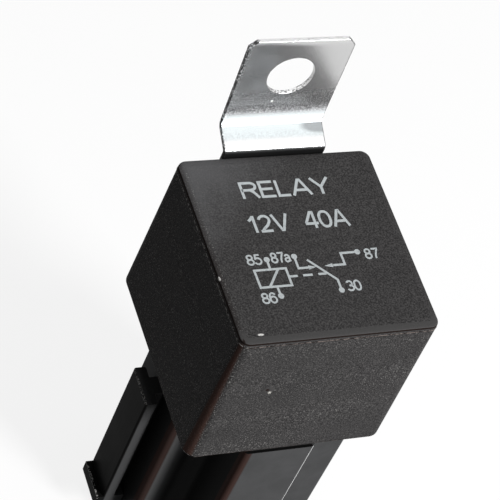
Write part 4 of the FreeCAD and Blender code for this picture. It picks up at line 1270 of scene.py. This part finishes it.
GLYPHS = {
    "0": Glyph(0.64, (), (oval(0.5, 0.5, 0.5, 0.5),)),
    "1": Glyph(0.42, ([(0.0, 0.72), (0.36, 0.84), (0.66, 1.0)], [(0.7, 1.05), (0.7, -0.06)])),
    "2": Glyph(
        0.66,
        (arc(0.48, 0.72, 0.45, 0.28, 168, -28) + [(0.68, 0.38), (0.26, 0.15), (0.08, 0.0)], [(-0.06, 0.0), (1.0, 0.0)]),
    ),
    "3": Glyph(
        0.65,
        (arc(0.46, 0.76, 0.43, 0.24, 158, -78), [(0.36, 0.525), (0.6, 0.525)], arc(0.46, 0.265, 0.54, 0.265, 78, -158)),
    ),
    "4": Glyph(0.72, ([(0.0, 0.29), (0.58, 1.0), (0.76, 1.0), (0.76, -0.06)], [(-0.06, 0.26), (1.04, 0.26)])),
    "5": Glyph(0.66, ([(0.92, 1.0), (0.24, 1.0), (0.1, 0.52)], arc(0.46, 0.33, 0.54, 0.33, 142, -156))),
    "6": Glyph(0.65, (arc(0.52, 0.5, 0.52, 0.5, 182, 38),), (oval(0.51, 0.32, 0.49, 0.32, 0.95),)),
    "7": Glyph(0.64, ([(0.0, 1.0), (1.0, 1.0), (1.0, 0.94), (0.72, 0.62), (0.5, 0.28), (0.42, -0.05)],)),
    "8": Glyph(0.65, (), (oval(0.5, 0.765, 0.42, 0.235, 0.95), oval(0.5, 0.265, 0.5, 0.265, 0.95))),
    "A": Glyph(0.86, ([(-0.02, -0.06), (0.45, 1.0), (0.55, 1.0), (1.02, -0.06)], [(0.16, 0.3), (0.84, 0.3)])),
    "E": Glyph(0.66, ([(1.0, 0.0), (0.0, 0.0), (0.0, 1.0), (0.98, 1.0)], [(0.0, 0.52), (0.92, 0.52)])),
    "L": Glyph(0.56, ([(0.0, 1.06), (0.0, 0.0), (1.0, 0.0)],)),
    "R": Glyph(
        0.76,
        (
            [(0.0, -0.06), (0.0, 1.0), (0.55, 1.0)]
            + arc(0.58, 0.755, 0.35, 0.245, 80, -80)
            + [(0.55, 0.51), (0.0, 0.51)],
            [(0.52, 0.5), (0.72, 0.36), (1.0, -0.05)],
        ),
    ),
    "V": Glyph(0.84, ([(-0.02, 1.06), (0.45, 0.0), (0.55, 0.0), (1.02, 1.06)],)),
    "Y": Glyph(0.84, ([(-0.02, 1.06), (0.5, 0.43), (1.02, 1.06)], [(0.5, 0.45), (0.5, -0.06)])),
    "a": Glyph(
        0.58,
        (
            arc(0.46, 0.5, 0.42, 0.23, 160, 8) + [(0.89, 0.12), (1.0, 0.0)],
            [(0.88, 0.43), (0.5, 0.4)] + arc(0.38, 0.195, 0.38, 0.195, 90, 270) + [(0.62, 0.04), (0.88, 0.2)],
        ),
    ),
}


@dataclass
class Print:
    """The rating, the terminal numbers and the switch symbol, stamped in light grey on the top."""

    level: float
    ink: float = 0.02
    line: float = 0.315
    dot: float = 0.40
    gap: float = 0.17
    layer: float = 0.0012

    def letters(self, mark: Mark) -> list[Shape]:
        """The strokes of a word, its letters spaced evenly and fitted to its box.

        Args:
            mark: the word, its box and its stroke's width.

        Returns:
            One shape for each stroke.
        """
        words, left, right, low, high, width = mark.value
        glyphs = [GLYPHS[letter] for letter in words]
        starts = np.cumsum([0.0] + [g.width + self.gap for g in glyphs])
        tall = high - low - width
        wide = (right - left - width) / (starts[-1] - self.gap)
        shapes = []
        for glyph, start in zip(glyphs, starts):
            corner = np.array([left + width / 2 + start * wide, low + width / 2])
            size = np.array([glyph.width * wide, tall])
            shapes += [self.stroke(corner + np.array(path) * size, width) for path in glyph.lines]
            shapes += [self.stroke(corner + np.array(path) * size, width, True) for path in glyph.rings]
        return shapes

    def stroke(self, path: Union[Array, Path], width: float, loop: bool = False) -> Shape:
        """A ribbon of constant width along a path, mitred at its corners and closed all round.

        At each point the ribbon's edges are the path plus and minus half the width along the mitre, which is the
        mean of the two runs' normals divided by the cosine of half the turn.

        Args:
            path: the middle line.
            width: the ribbon's width.
            loop: whether the path's last point joins its first.

        Returns:
            The points and the faces.
        """
        line = np.array(path, float)
        runs = np.roll(line, -1, 0) - line if loop else np.diff(line, axis=0)
        runs /= np.linalg.norm(runs, axis=1)[:, None]
        into = np.roll(runs, 1, 0) if loop else np.vstack([runs[:1], runs])
        out = runs if loop else np.vstack([runs, runs[-1:]])
        mitre = into + out
        mitre /= (mitre * into).sum(1)[:, None]
        side = np.column_stack([-mitre[:, 1], mitre[:, 0]]) * width / 2
        edges = np.stack([line + side, line - side, line - side, line + side], 1)
        height = np.array([1, 1, -1, -1]) * self.ink + self.level
        tall = np.broadcast_to(height, edges.shape[:2])[..., None]
        points = np.concatenate([edges, tall], 2).reshape(-1, 3)
        faces = grid_quads(len(line), 4, around=True)
        last = 4 * (len(line) - 1)
        if loop:
            return points, faces + [[last + k, last + (k + 1) % 4, (k + 1) % 4, k] for k in range(4)]
        return points, faces + [[0, 1, 2, 3], [last + k for k in (3, 2, 1, 0)]]

    def polygon(self, corners: Array) -> Shape:
        """A flat plate of the ink's thickness.

        Args:
            corners: its outline.

        Returns:
            The points and the faces.
        """
        count = len(corners)
        top = np.column_stack([corners, np.full(count, self.level + self.ink)])
        low = np.column_stack([corners, np.full(count, self.level - self.ink)])
        ring = list(range(count))
        walls = [[i, (i + 1) % count, (i + 1) % count + count, i + count] for i in ring]
        return np.vstack([top, low]), [ring, [i + count for i in reversed(ring)]] + walls

    def disc(self, x: float, y: float) -> Shape:
        """A round dot."""
        angle = circle(24)
        return self.polygon(np.column_stack([x + self.dot * np.cos(angle), y + self.dot * np.sin(angle)]))

    def symbol(self) -> list[Shape]:
        """The coil's box, the link, the lever and the two contacts.

        Returns:
            One shape for each stroke, arrow head and dot.
        """
        w = self.line
        box = [(-8.6, -3.55), (-4.3, -3.55), (-4.3, -6.15), (-8.55, -6.15)]
        lines = [
            [(-7.3, -6.15), (-5.35, -3.55)],
            [(-6.4, -2.1), (-6.4, -3.5)],
            [(-6.35, -6.2), (-6.3, -7.55)],
            [(-4.2, -4.83), (-3.1, -4.83)],
            [(-2.35, -4.83), (-1.05, -4.83)],
            [(-0.25, -4.83), (0.85, -4.83)],
            [(-2.6, -1.9), (-2.6, -3.72), (-1.0, -3.72)],
            [(6.1, -1.95), (3.85, -1.95), (3.85, -3.68), (2.2, -3.68)],
            [(-1.05, -2.55), (2.05, -5.9), (2.05, -7.4)],
        ]
        heads = [
            np.array([[-1.2, -3.4], [-0.2, -3.72], [-1.2, -4.04]]),
            np.array([[2.15, -3.38], [1.05, -3.68], [2.15, -3.98]]),
        ]
        dots = [(-6.4, -2.05), (-2.6, -1.9), (6.2, -1.95), (2.05, -7.5), (-6.3, -7.6)]
        shapes = [self.stroke(box, w, True)] + [self.stroke(path, w) for path in lines]
        shapes += [self.polygon(head) for head in heads]
        return shapes + [self.disc(x, y) for x, y in dots]

    def build(self) -> list[str]:
        """Make the lettering and the symbol, one piece each, with every shape a little above the one before.

        Returns:
            The pieces' names.
        """
        rating = (Mark.NAME, Mark.VOLTS, Mark.AMPS)
        groups = {
            "print_rating": [shape for mark in rating for shape in self.letters(mark)],
            "print_numbers": [shape for mark in Mark if mark not in rating for shape in self.letters(mark)],
            "print_symbol": self.symbol(),
        }
        names = []
        for name, shapes in groups.items():
            points, faces = joined((more + [0.0, 0.0, i * self.layer], loops) for i, (more, loops) in enumerate(shapes))
            piece = Piece(name, Body.RELAY, INK, "cover_plastic")
            names.append(piece.settle(piece.build(points, faces, crease=20.0, closed=False)).name)
        return names


class Share(Enum):
    """The part of the strip's width that a grid covers, beside or across the square round the hole."""

    WHOLE = "whole"
    LEFT = "left"
    RIGHT = "right"


@dataclass
class Bracket:
    """One folded strip of zinc-plated steel: a foot on the rear wall, two bends, and a tab with its hole."""

    cover: Cover
    thick: float = 0.6
    half: float = 7.15
    tab_half: float = 7.3
    foot: float = 4.0
    knee: float = 1.1
    back: float = 3.3
    root: float = 2.55
    high: float = 17.4
    lean: float = 0.77
    cut: float = 1.0
    knee_radius: float = 1.0
    crease_radius: float = 0.6
    hole: float = 3.2
    hole_up: float = 11.15
    frame_half: float = 4.5
    side_steps: int = 24
    soft: float = 0.11

    def corners(self) -> Array:
        """The corners of the front face's path: foot, knee, root and tip.

        Returns:
            Rows of y and z.
        """
        top, slope = self.cover.top, self.cover.slope
        wall = self.cover.half_y
        low = self.cover.rim + self.foot
        root_y = wall + self.back
        return np.array(
            [
                [wall + (top - low) * slope, low],
                [wall - self.knee * slope, top + self.knee],
                [root_y, top + self.root],
                [root_y + self.lean, top + self.high],
            ]
        )

    def half_at(self, z: Array) -> Array:
        """Half the strip's width: cut corners at the foot, straight, widening, and cut corners on top.

        Args:
            z: the heights.

        Returns:
            The half width at each.
        """
        low = self.cover.rim + self.foot
        root, high = self.cover.top + self.root, self.cover.top + self.high
        levels = [low, low + self.cut, root, high - self.cut, high]
        widths = [self.half - self.cut, self.half, self.half, self.tab_half, self.tab_half - self.cut]
        return np.interp(z, levels, widths)

    def sheet(self) -> bpy.types.Object:
        """The strip as a grid across its path, with a ring grid from the hole's circle to a square round it.

        Returns:
            The strip.
        """
        spots = self.corners()
        path = round_path(spots, [self.knee_radius, self.crease_radius], 5.0)
        tab = unit(spots[3] - spots[2])
        centre_z = self.cover.top + self.hole_up
        centre = spots[2] + tab * (centre_z - spots[2][1]) / tab[1]
        first, last = centre - tab * self.frame_half, centre + tab * self.frame_half
        low_cut = spots[0] + unit(spots[1] - spots[0]) * self.cut
        high_cut = spots[3] - tab * self.cut / tab[1]
        steps = np.linspace(0.0, 1.0, self.side_steps + 1)[:, None]
        window = first + (last - first) * steps
        lower = np.vstack([path[:1], low_cut, path[1:-1], path[-2] + tab * 0.15, window[:1]])
        upper = np.vstack([window[-1:], high_cut, spots[3:]])
        grids = [self.band(lower, Share.WHOLE), self.band(upper, Share.WHOLE)]
        grids += [self.band(window, Share.LEFT), self.band(window, Share.RIGHT), self.collar(centre, tab)]
        piece = Piece("bracket_strip", Body.RELAY, ZINC_SHEET, "zinc_steel")
        made = piece.build(*joined(grids), crease=30.0)
        turn_faces(made, Vector((0.0, -1.0, 0.3)))
        thicken(made, self.thick, -1.0, even=True)
        round_edges(made, self.soft, 55.0)
        return piece.settle(made, "bracket")

    def band(self, path: Array, share: Share) -> Shape:
        """A grid across part of the path: x runs over the columns, y and z follow the path.

        Args:
            path: rows of y and z.
            share: how much of the strip's width it covers.

        Returns:
            The points and the faces.
        """
        half = self.half_at(path[:, 1])[:, None]
        side, columns = self.frame_half, self.side_steps + 1
        outer = np.array([0.0, 0.03, 0.35, 0.7, 1.0])
        left = -half + (half - side) * outer
        right = side + (half - side) * (1 - outer[::-1])
        if share is Share.LEFT:
            return swept(left, path)
        if share is Share.RIGHT:
            return swept(right, path)
        inner = np.broadcast_to(np.linspace(-side, side, columns), (len(path), columns))
        return swept(np.hstack([left[:, :-1], inner, right[:, 1:]]), path)

    def collar(self, centre: Array, tab: Array) -> Shape:
        """The square round the hole: each point lies on the line from the circle to the square's edge.

        A point of the square at angle a meets the circle's point at the same angle, and the rows between them are
        spaced closer near the hole.

        Args:
            centre: y and z of the hole's middle.
            tab: the tab's direction upwards.

        Returns:
            The points and the faces.
        """
        side, n = self.frame_half, self.side_steps
        run = np.linspace(-side, side, n + 1)[:-1]
        flat = np.full(n, side)
        sides = ((run, -flat), (flat, run), (-run, flat), (-flat, -run))
        square = np.vstack([np.column_stack(pair) for pair in sides])
        rim = square / np.linalg.norm(square, axis=1)[:, None] * self.hole
        outwards = np.array([0.0, 0.06, 0.3, 0.65, 1.0])[:, None, None]
        rings = rim * (1 - outwards) + square * outwards
        x, w = rings[..., 0], rings[..., 1]
        y, z = centre[0] + w * tab[0], centre[1] + w * tab[1]
        return np.stack([x, y, z], -1).reshape(-1, 3), grid_quads(len(outwards), 4 * n, around=True)

    def rivets(self) -> bpy.types.Object:
        """Two pressed rivets, domed on the outside and flat inside the wall.

        The profile is a flat head, a shank, and a dome that is a quarter of an ellipse.

        Returns:
            Both rivets as one piece.
        """
        first, step = 8.0, 6.0
        head, shank, dome = 2.0, 1.1, 0.6
        inner = -self.cover.wall - dome
        outer = self.thick
        angle = np.linspace(0.0, np.pi / 2, 9)
        cap = np.column_stack([head * np.cos(angle), outer + 0.12 + (dome - 0.12) * np.sin(angle)])
        low = [[0, inner], [head - 0.15, inner], [head, inner + 0.15], [head, inner + dome], [shank, inner + dome]]
        profile = np.vstack([low, [[shank, outer], [head, outer]], cap[:-1], [[0.0, cap[-1, 1]]]])
        axis = (0.0, math.cos(math.atan(self.cover.slope)), math.sin(math.atan(self.cover.slope)))
        rivet, loops = turned(profile)
        shapes = []
        for z in (self.cover.rim + first, self.cover.rim + first + step):
            y = self.cover.half_y + (self.cover.top - z) * self.cover.slope
            shapes.append((stood(rivet, axis, (0.0, y, z)), loops))
        piece = Piece("bracket_rivet_pair", Body.RELAY, ZINC_STEEL, "zinc_steel")
        return piece.settle(piece.build(*joined(shapes), crease=40.0), "bracket_rivets")

    def build(self) -> list[str]:
        """Make the strip and its rivets."""
        return [self.sheet().name, self.rivets().name]


def turn_faces(made: bpy.types.Object, way: Vector) -> None:
    """Turn an open sheet's faces so that most of them look along a direction.

    Args:
        made: the sheet.
        way: the direction.
    """
    work = bmesh.new()
    work.from_mesh(made.data)
    total = sum((face.normal * face.calc_area() for face in work.faces), Vector())
    if total.dot(way) < 0:
        bmesh.ops.reverse_faces(work, faces=work.faces)
    work.to_mesh(made.data)
    work.free()


@dataclass
class Base:
    """The floor of the relay with its cast seal and its five blades."""

    blades: tuple[str, ...] = TERMINALS

    def build(self) -> list[str]:
        """Soften the floor and the blades, and dress the seal.

        Returns:
            The pieces' names.
        """
        names = [softened("base_plate", BASE_PLASTIC, Body.RELAY, "base_plastic")]
        names += dress(COMPOUND, "sealing_compound")
        return names + [softened("blade_" + n, TINNED_BRASS, Body.RELAY, "tinned_brass") for n in self.blades]


@dataclass
class Coil:
    """The wound bobbin on its core, with the yoke round it."""

    barrel: float = 3.85
    outer: float = 6.9
    wire: float = 0.28
    height: float = 10.0
    middle: float = -0.75

    def winding(self) -> bpy.types.Object:
        """The turns of fine wire as a ribbed ring.

        On the outer side the radius at height h is outer - wire / 2 + wire / 2 |sin(pi h / wire)|, and h climbs by
        one wire for each turn round the axis, so the ribs run as a helix.

        Returns:
            The winding.
        """
        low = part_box("coil_winding")[0].z / MM
        turns = round(self.height / self.wire)
        count, rows = 72, turns * 4 + 1
        angle = circle(count)
        h = np.linspace(0.0, self.height, rows)[:, None]
        phase = np.pi * (h / self.wire - angle / (2 * np.pi))
        radius = self.outer - self.wire / 2 + self.wire / 2 * np.abs(np.sin(phase))
        x, y = radius * np.cos(angle), radius * np.sin(angle)
        outer = np.stack([x, y, np.broadcast_to(h, x.shape)], -1)
        ring = np.stack([self.barrel * np.cos(angle), self.barrel * np.sin(angle)], -1)
        top = np.concatenate([ring, np.full((count, 1), self.height)], 1)
        bottom = np.concatenate([ring, np.zeros((count, 1))], 1)
        rings = np.concatenate([bottom[None], outer, top[None]], 0)
        points = rings.reshape(-1, 3) + np.array([0.0, self.middle, low])
        faces = grid_quads(rows + 2, count, around=True)
        last = (rows + 1) * count
        around = np.arange(count)
        ahead = np.roll(around, -1)
        faces += np.stack([around + last, ahead + last, ahead, around], -1).tolist()
        piece = Piece("wire_turns", Body.RELAY, ENAMEL, "enamelled_copper")
        return piece.settle(piece.build(points, faces, crease=60.0), "coil_winding")

    def build(self) -> list[str]:
        """Make the winding, soften the bobbin and the yoke, and dress the core, leads, rivets and fixed contacts.

        Returns:
            The pieces' names.
        """
        names = [self.winding().name]
        names.append(softened("bobbin", BOBBIN_PLASTIC, Body.RELAY, "bobbin_plastic"))
        names.append(softened("yoke", MAGNET_STEEL, Body.RELAY, "magnet_steel"))
        names += dress(MAGNET_STEEL, "core") + dress(ENAMEL, "coil_leads")
        return names + dress(BRASS, "yoke_rivets") + dress(SILVER, "contact_no", "contact_nc")


@dataclass
class Lever:
    """The armature with its leaf spring, its rivets and the moving contact."""

    half: float = 4.5
    tongue: float = 2.2
    tongue_y: float = 5.2
    thick: float = 0.3
    leg: float = 8.4
    bend: float = 0.75
    back: float = -11.55
    front: float = 12.2
    blend_reach: float = 1.4

    def leaf(self) -> bpy.types.Object:
        """The leaf spring: half its width follows the path's length, and its thickness comes from a wall.

        The path runs up the yoke's leg, round the bend and out to the tongue's tip. The width is constant up to the
        tongue, where it narrows at once.

        Returns:
            The leaf, with its transform baked, riding on no body.
        """
        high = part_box("contact_spring")[1].z / MM - self.thick / 2
        low = high + self.thick / 2 - self.leg
        corners = np.array([[self.back, low], [self.back, high], [self.front, high]])
        path = round_path(corners, [self.bend], 6.0)
        more = np.array([[y, high] for y in (self.tongue_y, self.tongue_y + 0.05, self.tongue_y + 0.5)])
        rise = np.array([[self.back, z] for z in np.linspace(low, high - self.bend, 6)[1:-1]])
        run = np.array([[y, high] for y in np.linspace(self.back + self.bend, self.tongue_y, 10)[1:-1]])
        path = np.vstack([path[:1], rise, path[1:-1], run, more, path[-1:]])
        half = np.where(path[:, 0] > self.tongue_y + 0.04, self.tongue, self.half)[:, None]
        piece = Piece("leaf_spring", Body.ARMATURE, BRONZE, "spring_bronze")
        made = piece.build(*swept(half * np.linspace(-1.0, 1.0, 9), path), crease=30.0)
        thicken(made, self.thick - 0.01, 0.0)
        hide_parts("contact_spring")
        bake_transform(made)
        return made

    def build(self) -> list[str]:
        """Make the leaf, soften the armature, and dress the rivets and the contact.

        Returns:
            The pieces' names.
        """
        names = [self.leaf().name]
        names.append(softened("armature", MAGNET_STEEL, Body.ARMATURE, "magnet_steel"))
        return names + dress(BRASS, "armature_rivets") + dress(SILVER, "moving_contact")


@dataclass
class Socket:
    """The moulded socket with its T rail and slot, and the five empty receptacles."""

    soft: float = 0.14

    def build(self) -> list[str]:
        """Soften the housing, and dress the receptacles."""
        names = [softened("socket_housing", SOCKET_PLASTIC, Body.SOCKET, "socket_plastic", self.soft)]
        return names + dress(TINNED_BRASS, *("socket_terminal_" + n for n in TERMINALS))


# The room


@dataclass
class Lamp:
    """A soft square lamp that looks at the relay."""

    name: str
    place: Triple
    size: float
    power: float
    colour: Rgb = (1.0, 1.0, 1.0)

    def build(self, target: Vector) -> None:
        """Hang the lamp and aim it.

        Args:
            target: the point that it looks at.
        """
        light = bpy.data.lights.new(self.name, "AREA")
        light.shape = "SQUARE"
        light.size = self.size
        light.energy = self.power
        light.color = self.colour
        made = new_object(self.name, light)
        made.location = self.place
        made.rotation_mode = "QUATERNION"
        made.rotation_quaternion = (target - Vector(self.place)).to_track_quat("-Z", "Y")


@dataclass
class Studio:
    """The pale floor, the plain light and the camera, whose place and directions were fitted to the photograph."""

    floor_size: float = 3.0
    floor_colour: float = 0.96
    floor_bounce: float = 0.16
    floor_mirrored: float = 0.57
    floor_drop: float = 0.0001
    glow: float = 0.85
    sky: float = 0.09
    focal: float = 2251.8062
    frame_width: float = 500.0
    sensor: float = 36.0
    clip: tuple[float, float] = (0.02, 20.0)
    eye: Triple = (-122.2459, -146.1058, 266.9388)
    right: Triple = (0.909493, -0.298001, 0.289859)
    down: Triple = (-0.071171, -0.798567, -0.597684)
    forward: Triple = (0.409582, 0.522959, -0.747500)
    target: Triple = (0.0, 0.0, 0.05)
    lamps: tuple[Lamp, ...] = (
        Lamp("key", (0.27, -0.42, 0.32), 0.16, 5.2),
        Lamp("over", (0.02, 0.10, 0.42), 0.16, 0.30),
    )

    def camera(self) -> None:
        """The camera, its focal length given in pixels of the photograph's width."""
        data = bpy.data.cameras.new("camera")
        data.sensor_width = self.sensor
        data.lens = self.focal / self.frame_width * self.sensor
        data.clip_start, data.clip_end = self.clip
        made = new_object("camera", data)
        turn = Matrix((Vector(self.right), -Vector(self.down), -Vector(self.forward))).transposed().to_4x4()
        made.matrix_world = Matrix.Translation(Vector(self.eye) * MM) @ turn
        bpy.context.scene.camera = made

    def seen(self, tree: Tree, mirrored: float) -> Wire:
        """1 for a ray from the camera, mirrored for one seen in metal or glass, 0 for one that only carries light."""
        direct = tree.node("ShaderNodeLightPath", {}, {}, "Is Camera Ray")
        return direct.larger(direct.output("Is Glossy Ray").larger(direct.output("Is Transmission Ray")) * mirrored)

    def floor(self) -> None:
        """A pale floor that keeps the object's shadow and looks nearly white."""
        shader = Shader("floor", Roughness=0.9, Specular_IOR_Level=0.1)
        direct = shader.node("ShaderNodeLightPath", {}, {}, "Is Camera Ray")
        shader.finish(Base_Color=shader.mix(direct, (self.floor_bounce,) * 3, (self.floor_colour,) * 3))
        glow = shader.node("ShaderNodeEmission", {}, {"Strength": 1.0})
        share = self.seen(shader, self.floor_mirrored) * self.glow
        lit = Wire(shader, shader.end.outputs[0])
        both = shader.node("ShaderNodeMixShader", {}, {0: share, 1: lit, 2: glow})
        output = next(n for n in shader.tree.nodes if n.type == "OUTPUT_MATERIAL")
        shader.feed(output.inputs["Surface"], both)
        half = self.floor_size / 2
        mesh = bpy.data.meshes.new("floor")
        mesh.from_pydata([(-half, -half, 0), (half, -half, 0), (half, half, 0), (-half, half, 0)], [], [(0, 1, 2, 3)])
        mesh.materials.append(shader.material)
        made = new_object("floor", mesh)
        made.location.z = -self.floor_drop

    def world(self) -> None:
        """A plain grey sky for light, which looks white to the camera and in metal."""
        world = bpy.data.worlds.new("sky")
        world.use_nodes = True
        tree = Tree(world.node_tree)
        back = next(n for n in world.node_tree.nodes if n.type == "BACKGROUND")
        back.inputs["Color"].default_value = (1.0, 1.0, 1.0, 1.0)
        tree.feed(back.inputs["Strength"], self.seen(tree, 1.0) * (1.0 - self.sky) + self.sky)
        bpy.context.scene.world = world

    def build(self) -> list[str]:
        """Make the camera, the floor, the sky and the lamps.

        Returns:
            The names of what was made.
        """
        bpy.context.scene.view_settings.view_transform = "Standard"
        self.camera()
        self.floor()
        self.world()
        for lamp in self.lamps:
            lamp.build(Vector(self.target))
        return ["camera", "floor", "sky"] + [lamp.name for lamp in self.lamps]


def main() -> None:
    """Build each sub-assembly in order."""
    logging.basicConfig(level=logging.INFO, format="%(message)s")
    cover = Cover()
    steps = [Studio(), cover, Print(cover.top), Bracket(cover), Base(), Coil(), Lever(), Socket()]
    for step in steps:
        names = step.build()
        log.info("%s: %s", type(step).__name__, ", ".join(names))


if __name__ == "__main__":
    main()
